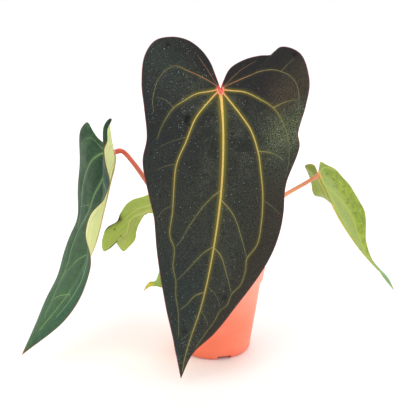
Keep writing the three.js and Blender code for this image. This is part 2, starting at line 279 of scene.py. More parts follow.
def tube_faces(rings: int, sides: int, base: int = 0) -> list[list[int]]:
    """Lists a closed tube's faces: the quads from ring to ring, the first cap and the last one.

    Args:
        rings: the number of rings.
        sides: the number of corners in a ring.
        base: the number of its first corner.

    Returns:
        Corner numbers of each face, wound outwards.
    """
    a = base + np.arange((rings - 1) * sides).reshape(-1, sides)
    b = np.roll(a, -1, axis=1)
    quads = np.stack([a, b, b + sides, a + sides], axis=-1).reshape(-1, 4).tolist()
    first = list(range(base + sides - 1, base - 1, -1))
    end = base + rings * sides
    return [*quads, first, list(range(end - sides, end))]


class TubeCluster:
    """Closed tubes that make one piece together, each with the tones painted on it."""

    def __init__(self) -> None:
        """Starts with no tubes."""
        self.corners: list[np.ndarray] = []
        self.faces: list[list[int]] = []
        self.tones: dict[str, list[np.ndarray]] = {}

    def add(self, corners: np.ndarray, sides: int, **tones: np.ndarray | float) -> None:
        """Adds a tube.

        Args:
            corners: its corners, ring after ring.
            sides: the number of corners in a ring.
            tones: by name, the number painted on all its corners, or one for each.
        """
        base = sum(len(part) for part in self.corners)
        self.faces += tube_faces(len(corners) // sides, sides, base)
        self.corners.append(corners)
        for name, tone in tones.items():
            self.tones.setdefault(name, []).append(np.broadcast_to(tone, len(corners)))

    def piece(self, name: str, material: bpy.types.Material) -> bpy.types.Object:
        """Makes one piece of all the tubes.

        Args:
            name: the piece's name.
            material: the material of all the tubes.

        Returns:
            The piece.
        """
        made = make_piece(name, np.concatenate(self.corners), self.faces, [material])
        for tone, values in self.tones.items():
            paint(made, tone, np.concatenate(values))
        return made


# ---- finishes ----


class Coat:
    """What every finish shares: coordinates in millimetres, painted numbers and layers of colour."""

    def __init__(self, name: str) -> None:
        """Starts a material.

        Args:
            name: the material's name.
        """
        self.material = bpy.data.materials.new(name)
        self.material.use_nodes = True
        self.tree = self.material.node_tree
        self.tree.nodes.clear()
        place = add_node(self.tree, "ShaderNodeTexCoord").outputs["Object"]
        self.millimetres = self.stretched(place, (1 / MM, 1 / MM, 1 / MM))

    def stretched(
        self, place: bpy.types.NodeSocket, scale: tuple[float, float, float]
    ) -> bpy.types.NodeSocket:
        """Scales coordinates along each axis: a smaller number draws the grain read there out longer."""
        settings = {"operation": "MULTIPLY", 1: scale}
        return add_node(self.tree, "ShaderNodeVectorMath", settings, {0: place}).outputs[0]

    def painted(self, name: str) -> bpy.types.NodeSocket:
        """Reads a number painted on the mesh."""
        return add_node(self.tree, "ShaderNodeAttribute", {"attribute_name": name}).outputs["Fac"]

    def mask(
        self,
        value: bpy.types.NodeSocket,
        low: float,
        high: float,
        strength: float = 1.0,
    ) -> bpy.types.NodeSocket:
        """Turns a value into a smooth mask.

        Args:
            value: the value to read.
            low: where the mask is 0.
            high: where the mask reaches its strength.
            strength: the mask's largest value.

        Returns:
            The mask.
        """
        settings = {"interpolation_type": "SMOOTHSTEP", 1: low, 2: high, 3: 0.0, 4: strength}
        return add_node(self.tree, "ShaderNodeMapRange", settings, {0: value}).outputs[0]


    def both(self, first: bpy.types.NodeSocket, second: bpy.types.NodeSocket) -> bpy.types.NodeSocket:
        """Gives the mask that shows only where two masks do."""
        settings = {"operation": "MULTIPLY"}
        return add_node(self.tree, "ShaderNodeMath", settings, {0: first, 1: second}).outputs[0]

    def grain(
        self,
        size_mm: float,
        detail: float = 2.0,
        vector: bpy.types.NodeSocket | None = None,
        roughness: float = 0.5,
    ) -> bpy.types.NodeSocket:
        """Makes cloudy variation whose patches are about as large as the size given.

        Args:
            size_mm: size of the patches.
            detail: how many finer layers it has.
            vector: where it is read, in millimetres, or None for the piece's own place.
            roughness: how strong the finer layers are.

        Returns:
            A value about 0.5, between 0 and 1.
        """
        settings = {"Scale": 1 / size_mm, "Detail": detail, "Roughness": roughness}
        links = {"Vector": vector or self.millimetres}
        return add_node(self.tree, "ShaderNodeTexNoise", settings, links).outputs["Fac"]

    def layered(
        self,
        ground: bpy.types.NodeSocket | str,
        layers: Sequence[tuple[str, bpy.types.NodeSocket]],
    ) -> bpy.types.NodeSocket:
        """Lays colours over each other.

        Args:
            ground: the lowest colour, as hex or as a socket.
            layers: each colour with the mask that shows it.

        Returns:
            The finished colour.
        """
        for colour, shows in layers:
            settings = {"data_type": "RGBA", 7: linear(colour)}
            links = {0: shows}
            if isinstance(ground, str):
                settings[6] = linear(ground)
            else:
                links[6] = ground
            ground = add_node(self.tree, "ShaderNodeMix", settings, links).outputs[2]
        return ground

    def bumps(self, heights: Sequence[tuple[bpy.types.NodeSocket, float]]) -> bpy.types.NodeSocket:
        """Raises fine relief on the surface.

        Args:
            heights: each height value with its depth in millimetres.

        Returns:
            The surface's normal.
        """
        normal = None
        for value, depth_mm in heights:
            links = {"Height": value}
            if normal is not None:
                links["Normal"] = normal
            settings = {"Strength": 1.0, "Distance": depth_mm * MM}
            normal = add_node(self.tree, "ShaderNodeBump", settings, links).outputs[0]
        return normal

    def finish(self, settings: dict, links: dict) -> bpy.types.Material:
        """Closes the material with its shader.

        Args:
            settings: values of the shader's inputs.
            links: sockets that feed the shader's inputs.

        Returns:
            The material.
        """
        shader = add_node(self.tree, "ShaderNodeBsdfPrincipled", settings, links)
        add_node(self.tree, "ShaderNodeOutputMaterial", {}, {"Surface": shader.outputs[0]})
        return self.material


@dataclass(frozen=True)
class Wash:
    """A broad tint on a blade, between two places down it and two places across it, that fades in and out:
    some are the leaf's own colour, and some are painted shade and painted sheen.
    """

    colour: str
    strength: float
    down: tuple[float, float] = (-0.1, 0.0)
    across: tuple[float, float] = (-2.0, -1.5)


@dataclass(frozen=True)
class VelvetEpidermis:
    """Living leaf skin: domed cells trap light and give a velvet look, drawn with painted highlight on their
    centres and painted shade at their edges, and a thin line runs round its edge.

    The cells are really 0.05 mm across; they are drawn at about 0.9 mm, the finest that the render shows.
    """

    name: str
    ground: str
    deep: str
    halo: str
    edge: str
    blush: str
    washes: tuple[Wash, ...] = ()
    mottle: float = 0.55
    net: float = 0.15
    grain: float = 0.45
    ior: float = 1.24
    roughness: float = 0.5
    sheen: float = 0.05
    glow: float = 0.0
    edge_mm: float = 1.1
    lip: str = "#cf3450"
    bruise: str = "#070808"
    mottle_mm: float = 22.0
    areole_mm: float = 5.5
    cell_mm: float = 0.9
    cell_depth_mm: float = 0.06
    wrinkle_mm: float = 3.2
    wrinkle_depth_mm: float = 0.35

    def build(self) -> bpy.types.Material:
        """Makes the material from the numbers painted on a blade."""
        coat = Coat(self.name)
        across, down = coat.painted("across"), coat.painted("down")
        clouds = coat.grain(self.mottle_mm, 4.0)
        place = {"Vector": coat.millimetres}
        domes = {"Scale": 1 / self.cell_mm, "Randomness": 0.9}
        cells = add_node(coat.tree, "ShaderNodeTexVoronoi", domes, place).outputs["Distance"]
        meshes = {"feature": "DISTANCE_TO_EDGE", "Scale": 1 / self.areole_mm}
        areoles = add_node(coat.tree, "ShaderNodeTexVoronoi", meshes, place).outputs["Distance"]
        # some washes are painted shade and painted sheen laid over the leaf's own colour
        washes = []
        for wash in self.washes:
            shows = coat.both(coat.mask(down, *wash.down, wash.strength), coat.mask(across, *wash.across))
            washes.append((wash.colour, shows))
        colour = coat.layered(
            self.ground,
            [
                (self.deep, coat.mask(clouds, 0.35, 0.65, self.mottle)),
                *washes,
                # painted shade at the cells' edges and painted highlight on their centres, as strong as grain
                (self.deep, coat.mask(cells, 0.3, 0.7, self.grain)),
                (self.halo, coat.mask(cells, 0.2, 0.03, 0.3 * self.grain)),
                (self.halo, coat.mask(areoles, 0.07, 0.0, self.net)),
                (self.halo, coat.painted("halo")),
                (self.bruise, coat.painted("mark")),
                (self.blush, coat.painted("blush")),
                (self.edge, coat.mask(coat.painted("inset"), self.edge_mm, 0.2, 0.9)),
                (self.lip, coat.painted("lip")),
            ],
        )
        wrinkles = coat.grain(self.wrinkle_mm, 3.0)
        relief = coat.bumps([(wrinkles, self.wrinkle_depth_mm), (cells, self.cell_depth_mm)])
        return coat.finish(
            {
                "Roughness": self.roughness,
                "IOR": self.ior,
                "Sheen Weight": self.sheen,
                "Sheen Roughness": 0.45,
                "Subsurface Weight": self.glow,
                "Subsurface Radius": (0.9, 1.0, 0.25),
                "Subsurface Scale": 1.2 * MM,
            },
            {"Base Color": colour, "Normal": relief},
        )


@dataclass(frozen=True)
class VeinTissue:
    """Waxy vein tissue: pale and bright along its crest, greener on its flanks and towards its end.

    Its cells, about 0.1 mm long, are drawn as ripples of 1.5 mm, the finest that show on a rib.
    """

    name: str
    crest: str
    flank: str
    end: str
    blush: str
    dusk: str
    roughness: float = 0.42
    patch_mm: float = 4.0
    ripple_mm: float = 1.5
    ripple_depth_mm: float = 0.1

    @cache
    def build(self) -> bpy.types.Material:
        """Makes the material once, from the numbers painted on the veins."""
        coat = Coat(self.name)
        colour = coat.layered(
            self.crest,
            [
                (self.end, coat.painted("ageing")),
                (self.flank, coat.mask(coat.painted("crest"), 0.75, 0.05, 0.85)),
                (self.blush, coat.painted("blush")),
                (self.dusk, coat.both(coat.painted("blush"), coat.painted("dusk"))),
                (self.flank, coat.mask(coat.grain(self.patch_mm), 0.4, 0.75, 0.35)),
            ],
        )
        ripples = coat.bumps([(coat.grain(self.ripple_mm), self.ripple_depth_mm)])
        return coat.finish(
            {
                "Roughness": self.roughness,
                "IOR": 1.45,
                "Subsurface Weight": 0.15,
                "Subsurface Radius": (1.0, 0.8, 0.3),
                "Subsurface Scale": 1.0 * MM,
            },
            {"Base Color": colour, "Normal": ripples},
        )


@dataclass(frozen=True)
class StalkSkin:
    """Smooth, fleshy stalk skin: coral at the top and greener below, with faint streaks and pale dots.

    The streaks are the vessels under the skin, really under 0.5 mm apart and drawn at 1.3 mm to show.
    """

    name: str
    top: str
    middle: str
    foot: str
    shade: str
    joint: str
    dots: str = "#f3c9a0"
    dot_mm: float = 2.0
    streak_mm: float = 1.3
    streak_depth_mm: float = 0.12

    @cache
    def build(self) -> bpy.types.Material:
        """Makes the material once, from the numbers painted on the stalks."""
        coat = Coat(self.name)
        along = coat.painted("along")
        lengthwise = add_node(coat.tree, "ShaderNodeAttribute", {"attribute_name": "grain"}).outputs["Vector"]
        streaks = coat.grain(self.streak_mm, 3.0, lengthwise)
        settings, place = {"Scale": 1 / self.dot_mm}, {"Vector": coat.millimetres}
        dots = add_node(coat.tree, "ShaderNodeTexVoronoi", settings, place).outputs["Distance"]
        colour = coat.layered(
            self.foot,
            [
                (self.middle, coat.mask(along, 0.05, 0.35)),
                (self.top, coat.mask(along, 0.6, 0.95)),
                (self.joint, coat.mask(along, 0.93, 0.99)),
                (self.shade, coat.mask(streaks, 0.42, 0.68, 0.55)),
                (self.dots, coat.mask(dots, 0.16, 0.04, 0.3)),
            ],
        )
        return coat.finish(
            {
                "Roughness": 0.36,
                "IOR": 1.45,
                "Subsurface Weight": 0.2,
                "Subsurface Radius": (1.0, 0.5, 0.25),
                "Subsurface Scale": 2.0 * MM,
                "Coat Weight": 0.12,
                "Coat Roughness": 0.25,
            },
            {"Base Color": colour, "Normal": coat.bumps([(streaks, self.streak_depth_mm)])},
        )


@dataclass(frozen=True)
class MouldedPolypropylene:
    """Injection-moulded polypropylene: satin, softly lit from within and lightly scuffed, with painted light
    that makes it paler higher up and painted shade at its foot.

    The mould's spark texture, really about 0.1 mm, is drawn at 0.8 mm to show.
    """

    name: str
    body: str
    # light is the colour of the painted light towards the rim, foot that of the painted shade at the bottom
    light: str
    foot: str
    scuff: str
    height_mm: float
    patch_mm: float = 26.0
    scuff_mm: float = 2.4
    scuff_draw: float = 0.22
    scuff_depth_mm: float = 0.05
    fine_mm: float = 0.8
    fine_depth_mm: float = 0.03

    def build(self) -> bpy.types.Material:
        """Makes the material."""
        coat = Coat(self.name)
        height = add_node(coat.tree, "ShaderNodeSeparateXYZ", {}, {0: coat.millimetres}).outputs["Z"]
        upright = coat.stretched(coat.millimetres, (1.0, 1.0, self.scuff_draw))
        scuffs = coat.grain(self.scuff_mm, 5.0, upright, 0.65)
        patches = coat.grain(self.patch_mm, 2.0)
        scuffed = coat.both(coat.mask(scuffs, 0.6, 0.7), coat.mask(patches, 0.5, 0.62, 0.6))
        colour = coat.layered(
            self.body,
            [
                # painted light paling the wall towards the rim, then painted shade darkening it towards the
                # foot
                (self.light, coat.mask(height, 0.3 * self.height_mm, self.height_mm, 0.9)),
                (self.foot, coat.mask(height, 0.14 * self.height_mm, 0.0, 0.8)),
                (self.light, coat.mask(patches, 0.45, 0.8, 0.25)),
                (self.scuff, scuffed),
            ],
        )
        satin = {1: 0.3, 2: 0.7, 3: 0.38, 4: 0.52}
        rough = add_node(coat.tree, "ShaderNodeMapRange", satin, {0: scuffs}).outputs[0]
        fine = coat.grain(self.fine_mm, 2.0)
        relief = coat.bumps([(fine, self.fine_depth_mm), (scuffs, self.scuff_depth_mm)])
        return coat.finish(
            {
                "IOR": 1.49,
                "Subsurface Weight": 0.25,
                "Subsurface Radius": (1.0, 0.35, 0.2),
                "Subsurface Scale": 3.0 * MM,
            },
            {"Base Color": colour, "Roughness": rough, "Normal": relief},
        )


@dataclass(frozen=True)
class WornBark:
    """Weathered conifer bark, damp from watering: rough, with dark grain and paler broken faces."""

    name: str
    dark: str
    middle: str
    pale: str
    roughness: float = 0.86
    cloud_mm: float = 9.0
    grain_mm: float = 2.6
    grain_draw: Point = (0.5, 1.6, 2.2)
    grain_depth_mm: float = 0.9
    crumb_mm: float = 0.7
    crumb_depth_mm: float = 0.25

    def build(self) -> bpy.types.Material:
        """Makes the material, with a tone painted on each chip where there is one."""
        coat = Coat(self.name)
        grain = coat.grain(self.grain_mm, 5.0, coat.stretched(coat.millimetres, self.grain_draw), 0.62)
        tone = coat.painted("tone")
        colour = coat.layered(
            self.middle,
            [
                (self.pale, coat.mask(coat.grain(self.cloud_mm, 3.0), 0.45, 0.75, 0.5)),
                (self.pale, coat.mask(tone, 0.55, 1.0, 0.8)),
                (self.dark, coat.mask(tone, 0.45, 0.0, 0.7)),
                (self.dark, coat.mask(grain, 0.48, 0.72, 0.85)),
            ],
        )
        crumbs = coat.grain(self.crumb_mm, 3.0)
        relief = coat.bumps([(grain, self.grain_depth_mm), (crumbs, self.crumb_depth_mm)])
        settings = {"Roughness": self.roughness, "IOR": 1.4}
        return coat.finish(settings, {"Base Color": colour, "Normal": relief})


@dataclass(frozen=True)
class StemBark:
    """Young stem skin: green-brown, ringed by pale leaf scars and covered with thin brown fibres."""

    name: str
    skin: str
    shade: str
    scar: str
    fibre_mm: float = 1.4
    fibre_depth_mm: float = 0.45
    lump_mm: float = 4.0
    lump_depth_mm: float = 0.5

    def build(self) -> bpy.types.Material:
        """Makes the material, with the scars painted on the stem."""
        coat = Coat(self.name)
        fibres = coat.grain(self.fibre_mm, 4.0, None, 0.6)
        layers = [(self.shade, coat.mask(fibres, 0.42, 0.66, 0.8)), (self.scar, coat.painted("scar"))]
        colour = coat.layered(self.skin, layers)
        relief = coat.bumps([(fibres, self.fibre_depth_mm), (coat.grain(self.lump_mm), self.lump_depth_mm)])
        return coat.finish({"Roughness": 0.7, "IOR": 1.42}, {"Base Color": colour, "Normal": relief})


@dataclass(frozen=True)
class PlainSurface:
    """One even surface, such as a paper sweep under the plant or the pale droplets on the front leaf, some of
    them painted glints.
    """

    name: str
    colour: str
    shade: str
    roughness: float
    patch_mm: float

    def build(self) -> bpy.types.Material:
        """Makes the material."""
        coat = Coat(self.name)
        patches = coat.mask(coat.grain(self.patch_mm), 0.4, 0.7, 0.5)
        colour = coat.layered(self.colour, [(self.shade, patches)])
        return coat.finish({"Roughness": self.roughness, "IOR": 1.45}, {"Base Color": colour})


# ---- leaves ----


class Rank(Enum):
    """How strong a vein is."""

    MIDRIB = "midrib"
    LATERAL = "lateral"
    BASAL = "basal"
    BRANCH = "branch"
    TRACE = "trace"
    RIM = "rim of the joint"


MIDRIB, LATERAL, BASAL, BRANCH, TRACE, RIM = Rank


class Side(Enum):
    """One half of a blade, seen on its upper face with the tip away."""

    LEFT = -1
    RIGHT = 1


class Face(Enum):
    """One face of a blade, and the way that it looks along the blade's normals."""

    UPPER = 1
    LOWER = -1


@dataclass(frozen=True)
class VeinSize:
    """Sizes of one rank of vein in millimetres, how its halo colours the blade, and how green it ages.

    The blush is how far from the notch the red of the joint fades out of the vein.
    """

    start: float
    end: float
    rise: float
    groove: float
    halo_reach: float
    halo: float
    ageing_start: float
    ageing_end: float
    blush: float


VEIN_SIZES = {
    MIDRIB: VeinSize(2.05, 0.32, 0.55, 0.9, 1.9, 1.0, 0.0, 0.9, 8.0),
    LATERAL: VeinSize(0.88, 0.28, 0.32, 0.7, 1.5, 0.7, 0.15, 1.4, 10.0),
    BASAL: VeinSize(0.52, 0.32, 0.16, 0.45, 1.8, 0.15, 0.85, 1.1, 34.0),
    BRANCH: VeinSize(0.5, 0.3, 0.16, 0.4, 1.8, 0.2, 0.8, 1.1, 10.0),
    TRACE: VeinSize(0.25, 0.15, 0.08, 0.2, 1.5, 0.06, 1.3, 1.3, 34.0),
    RIM: VeinSize(0.95, 0.95, 0.8, 0.0, 0.5, 0.0, 0.0, 0.0, 30.0),
}


@dataclass(frozen=True)
class Vein:
    """One vein: the places it passes, as (share of the rows from notch to tip, share across from the midrib).

    Shares across are negative on the left half of the upper face. A vein that leaves the joint starts at
    (0, 0), the notch. A twin vein also runs on the other half.
    """

    rank: Rank
    path: tuple[tuple[float, float], ...]
    twin: bool = False


@dataclass(frozen=True)
class Mark:
    """A bruise or dent: its place as for a vein, its radius in millimetres and how dark and deep it is."""

    down: float
    across: float
    radius: float
    depth: float


@dataclass(frozen=True)
class Roll:
    """A stretch of margin that curls under: which edge, the rows it spans, and its sizes in millimetres."""

    side: Side
    start: float
    end: float
    width: float = 6.0
    radius: float = 1.3

    def strength(self, down: np.ndarray) -> np.ndarray:
        """Rises from 0 at the stretch's start to 1 and falls to 0 at its end."""
        ease = 0.35 * (self.end - self.start)
        rise = smoothstep(down, self.start, self.start + ease)
        return rise * smoothstep(down, self.end, self.end - ease)

    def curl(self, flat: np.ndarray, normal: np.ndarray, down: np.ndarray) -> tuple[np.ndarray, np.ndarray]:
        """Curls the grid's half on this side, with the fold where the plain edge was.

        Args:
            flat: the half's points, from the midrib to the edge in each row.
            normal: its unit normals, out of the upper face.
            down: the share of the rows at each row.

        Returns:
            The half's points after curling, and how far in from the edge each one is.
        """
        strength = self.strength(down)[:, None]
        reach = flat[:, -1] - flat[:, 0]
        length = np.linalg.norm(reach, axis=1)[:, None]
        out = (reach / np.maximum(length, 1e-6))[:, None]
        share = np.linalg.norm(flat - flat[:, :1], axis=-1) / np.maximum(length, 1e-6)
        width = self.width * strength
        longer = length + np.maximum(width - self.radius, 0)
        inset = (1 - share) * longer
        over = np.maximum(width - inset, 0)
        angle = np.minimum(over / self.radius, math.pi)
        past = np.maximum(over - math.pi * self.radius, 0)
        along = np.where(over > 0, longer - width + self.radius * np.sin(angle) - past, longer - inset)
        under = self.radius * (1 - np.cos(angle))
        return flat[:, :1] + out * along[..., None] - normal * under[..., None], inset


@dataclass
class BladeSheet:
    """The middle surface of a blade: rows ruled from its midrib to both edges, puffed, waved and grooved."""

    rib: tuple[Point, ...]
    rows: tuple[tuple[float, Point, Point], ...]
    bulge: float
    frill_height: float
    frill_waves: float
    row_count: int
    column_count: int
    quilt: float = 0.6
    puff_start: float = 0.1
    puff_full: float = 0.45
    crowding: float = 0.5
    edge_column: float = 0.45
    rolls: tuple[Roll, ...] = ()

    def __post_init__(self) -> None:
        """Lays out the grid and puffs it up, before the veins press their grooves into it."""
        rib = SmoothCurve(self.rib)
        left = SmoothCurve([self.rib[0], *(row[1] for row in self.rows), self.rib[-1]])
        right = SmoothCurve([self.rib[0], *(row[2] for row in self.rows), self.rib[-1]])
        starts = SmoothCurve([(d, 0, 0) for d in (0, *(row[0] for row in self.rows), rib.length)])

        def lines(t: np.ndarray) -> tuple[np.ndarray, np.ndarray, np.ndarray]:
            """Gives the midrib and the two edges at shares of the rows."""
            return rib.along(starts.at(t)[:, 0] / rib.length), left.at(t), right.at(t)

        dense = np.linspace(0, 1, 2001)
        steps = np.max([np.linalg.norm(np.diff(line, axis=0), axis=1) for line in lines(dense)], axis=0)
        travelled = np.concatenate([[0], np.cumsum(steps)])
        self.down = np.interp(np.linspace(0, travelled[-1], self.row_count + 1), travelled, dense)
        middle, left_edge, right_edge = lines(self.down)
        self.across = self._columns(middle, left_edge, right_edge)
        share = np.abs(self.across)[..., None]
        edge = np.where(self.across[..., None] < 0, left_edge[:, None], right_edge[:, None])
        flat = middle[:, None] * (1 - share) + edge * share
        self.inset = (1 - share[..., 0]) * np.linalg.norm(edge - middle[:, None], axis=-1)
        width = np.linalg.norm(left_edge - right_edge, axis=1)
        reach = (width / width.max())[:, None]
        puff = self.bulge * 4 * share[..., 0] * (1 - share[..., 0])
        turns = 2 * np.pi * self.frill_waves * self.down[:, None]
        wave = self.frill_height * share[..., 0] ** 2 * np.sin(turns)
        fade = smoothstep(self.down, self.puff_start, self.puff_full)[:, None]
        plain = self.normals(flat)
        half = self.column_count // 2
        for roll in self.rolls:
            side = slice(half, None) if roll.side is Side.RIGHT else slice(half, None, -1)
            flat[:, side], self.inset[:, side] = roll.curl(flat[:, side], plain[:, side], self.down)
        self.points = flat + plain * ((puff + wave) * reach * fade)[..., None]
        self.normal = self.normals(self.points)

    def _columns(self, middle: np.ndarray, left_edge: np.ndarray, right_edge: np.ndarray) -> np.ndarray:
        """Spaces the columns closer towards the edges, with one just inside each edge to keep it crisp.

        Args:
            middle: the midrib's points.
            left_edge: the left edge's points.
            right_edge: the right edge's points.

        Returns:
            Each grid point's share across.
        """
        even = np.linspace(-1, 1, self.column_count + 1)
        crowded = even * (1 + self.crowding * (1 - np.abs(even)))
        across = np.tile(crowded, (self.row_count + 1, 1))
        for column, edge, sign in ((1, left_edge, -1), (-2, right_edge, 1)):
            reach = np.maximum(np.linalg.norm(edge - middle, axis=1), 2.0)
            across[:, column] = sign * (1 - self.edge_column / reach)
        return across

    @staticmethod
    def normals(grid: np.ndarray) -> np.ndarray:
        """Gives the grid's unit normals, out of the upper face."""
        a, b, c, d = grid[:-1, :-1], grid[:-1, 1:], grid[1:, 1:], grid[1:, :-1]
        facing = np.cross(a - c, d - b)
        normal = np.zeros_like(grid)
        for rows in (slice(None, -1), slice(1, None)):
            for columns in (slice(None, -1), slice(1, None)):
                normal[rows, columns] += facing
        normal[0] = normal[0].sum(0)
        normal[-1] = normal[-1].sum(0)
        return unit(normal)

    def place(self, down: float, across: float) -> np.ndarray:
        """Finds the point at a share of the rows and a share across."""
        i = float(np.interp(down, self.down, np.arange(len(self.down))))
        low = min(int(i), self.row_count - 1)
        ends = []
        for row in (low, low + 1):
            ends.append([np.interp(across, self.across[row], self.points[row, :, k]) for k in range(3)])
        return np.array(ends[0]) * (1 - (i - low)) + np.array(ends[1]) * (i - low)

    def surface(self) -> BVHTree:
        """Makes a search tree of the grid as it is now, in millimetres."""
        points = self.points.reshape(-1, 3).tolist()
        quads, _ = self.quads()
        return BVHTree.FromPolygons(points, quads)

    def quads(self) -> tuple[list[list[int]], int]:
        """Lists the grid's quads, wound out of the upper face, and the number of its points."""
        columns = self.column_count + 1
        i, j = np.meshgrid(np.arange(self.row_count), np.arange(self.column_count), indexing="ij")
        a = (i * columns + j).ravel()
        corners = np.stack([a, a + columns, a + columns + 1, a + 1], axis=1)
        return corners.tolist(), (self.row_count + 1) * columns


@dataclass
class VeinPath:
    """A vein's points on the blade, with the blade's normal there and how far along the vein each one is."""

    rank: Rank
    points: np.ndarray
    normals: np.ndarray
    share: np.ndarray


@dataclass
class Blade:
    """A leaf's blade with its raised veins, and the coral rim round its notch where the stalk joins it.

    The rings of a dome on it are (height, spread), and its top a height, as shares of its radius.
    """

    name: str
    sheet: BladeSheet
    veins: tuple[Vein, ...]
    marks: tuple[Mark, ...]
    upper: VelvetEpidermis
    lower: VelvetEpidermis
    upper_vein: VeinTissue
    lower_vein: VeinTissue
    slot: str
    thickness: float = 0.9
    edge_thickness: float = 0.45
    edge_taper: float = 6.0
    edge_round: float = 0.2
    upper_swell: float = 1.0
    lower_swell: float = 1.5
    blush_reach: float = 4.0
    lip_reach: float = 24.0
    lip_width: float = 1.8
    lip_at_notch: float = 3.4
    rim_width: float = 3.1
    rim_depth: float = 6.0
    rim_turn: float = 1.9
    rim_overlap: float = 0.85
    groove_width: float = 2.4
    quilt_reach: float = 7.0
    bruise_spread: float = 1.7
    vein_step: float = 1.3
    vein_sides: int = 10
    vein_sink: float = 0.06
    vein_root: float = 0.3
    vein_least_rise: float = 0.12
    vein_taper: float = 0.65
    vein_fall: float = 0.4
    vein_blush: float = 1.0
    vein_ageing: float = 0.0
    dome_sink: float = 0.05
    dome_rings: tuple[tuple[float, float], ...] = ((-0.25, 0.8), (0.1, 1.0), (0.42, 0.75))
    dome_top: float = 0.55
    paths: list[VeinPath] = field(default_factory=list)
    bruises: np.ndarray | None = None

    def build(self) -> list[bpy.types.Object]:
        """Makes the blade and its veins, in place of the plain solid blade.

        Returns:
            The blade, the veins on its upper face and those on its lower one.
        """
        self._trace_veins()
        self._press_relief()
        self._trace_veins()
        blade = self._skin()
        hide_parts(f"{self.name}_blade")
        pieces = [blade]
        for face, tissue, swell in (
            (Face.UPPER, self.upper_vein, self.upper_swell),
            (Face.LOWER, self.lower_vein, self.lower_swell),
        ):
            veins = self._raise_veins(face, tissue.build(), swell)
            pieces.append(veins)
        return pieces

    def _trace_veins(self) -> None:
        """Lays each vein on the blade as a smooth line."""
        tree = self.sheet.surface()
        grid_normals = self.sheet.normals(self.sheet.points).reshape(-1, 3)
        lookup = search_tree(self.sheet.points.reshape(-1, 3))
        self.paths = []
        for vein in self.veins:
            for side in (1, -1) if vein.twin else (1,):
                curve = SmoothCurve([self.sheet.place(down, side * across) for down, across in vein.path])
                share = np.linspace(0, 1, max(int(curve.length / self.vein_step), 6))
                points, normals = [], []
                for point in curve.along(share):
                    near = tree.find_nearest(point)[0]
                    weights = np.zeros(3)
                    for _, index, distance in lookup.find_n(near, 4):
                        weights += grid_normals[index] / (distance + 0.05)
                    points.append(near)
                    normals.append(unit(weights))
                self.paths.append(VeinPath(vein.rank, np.array(points), np.array(normals), share))
        self.paths.append(self._joint_rim(tree))

    def _joint_rim(self, tree: BVHTree) -> VeinPath:
        """Lays the raised rim, shaped like a U, round the end of the notch where the veins meet."""
        middle = self.sheet.column_count // 2
        start = self.sheet.points[0, 0]
        away = np.linalg.norm(self.sheet.points[:, middle] - start, axis=1)
        row = int(np.argmax(away > 2 * self.rim_depth))
        down = unit(self.sheet.points[row, middle] - start)
        facing = self.sheet.normal[row, middle]
        side = np.cross(down, facing)
        turns = np.linspace(-self.rim_turn, self.rim_turn, 25)
        points, normals = [], []
        for turn in turns:
            place = start + side * self.rim_width * math.sin(turn) + down * self.rim_depth * math.cos(turn)
            points.append(tree.find_nearest(place)[0])
            normals.append(facing)
        return VeinPath(RIM, np.array(points), np.array(normals), np.linspace(0, 1, len(turns)))

    def _past_joint(self, path: VeinPath) -> VeinPath:
        """Gives a vein without the part of it that lies inside the rim round the notch."""
        if path.rank is RIM:
            return path
        notch, rim = self.sheet.points[0, 0], self.paths[-1].points
        offset = path.points - notch
        along = offset @ unit(rim[len(rim) // 2] - notch)
        aside = np.linalg.norm(offset, axis=1) ** 2 - along**2
        keep = (along / self.rim_depth) ** 2 + aside / self.rim_width**2 > self.rim_overlap
        return VeinPath(path.rank, path.points[keep], path.normals[keep], path.share[keep])

    def _press_relief(self) -> None:
        """Sinks the blade along its veins and puffs it up between them, and presses in the dents."""
        grid = self.sheet.points.reshape(-1, 3)
        groove = np.zeros(len(grid))
        nearest = np.full(len(grid), FAR)
        for rank, size in VEIN_SIZES.items():
            distance, share = self._distance(rank, grid)
            nearest = np.minimum(nearest, distance)
            deep = size.groove * (1 - 0.5 * share)
            groove = np.maximum(groove, deep * np.exp(-((distance / self.groove_width) ** 2)))
        puffed = self.sheet.quilt * (1 - np.exp(-((nearest / self.quilt_reach) ** 2)))
        dents = np.zeros(len(grid))
        for mark in self.marks:
            away = np.linalg.norm(grid - self.sheet.place(mark.down, mark.across), axis=1)
            dents += mark.depth * np.exp(-((away / mark.radius) ** 2))
        ends = np.minimum(self.sheet.down, 1 - self.sheet.down)
        fade = np.repeat(smoothstep(ends, 0.0, 0.08), self.sheet.column_count + 1)
        lift = ((puffed - groove - dents) * fade).reshape(*self.sheet.inset.shape, 1)
        self.bruises = np.clip(self.bruise_spread * dents, 0, 1)
        self.sheet.points = self.sheet.points + self.sheet.normal * lift
        self.sheet.normal = self.sheet.normals(self.sheet.points)

    def _distance(self, rank: Rank, points: np.ndarray) -> tuple[np.ndarray, np.ndarray]:
        """Measures how far points are from the veins of one rank.

        Args:
            rank: the rank of vein.
            points: points in millimetres.

        Returns:
            The distance to the nearest such vein, and how far along that vein the nearest place is.
        """
        paths = [path for path in self.paths if path.rank is rank]
        if not paths:
            return np.full(len(points), FAR), np.zeros(len(points))
        shares = np.concatenate([path.share for path in paths])
        tree = search_tree(np.concatenate([path.points for path in paths]))
        found = [tree.find(point) for point in points]
        distance = np.array([hit[2] for hit in found])
        return distance, shares[[hit[1] for hit in found]]

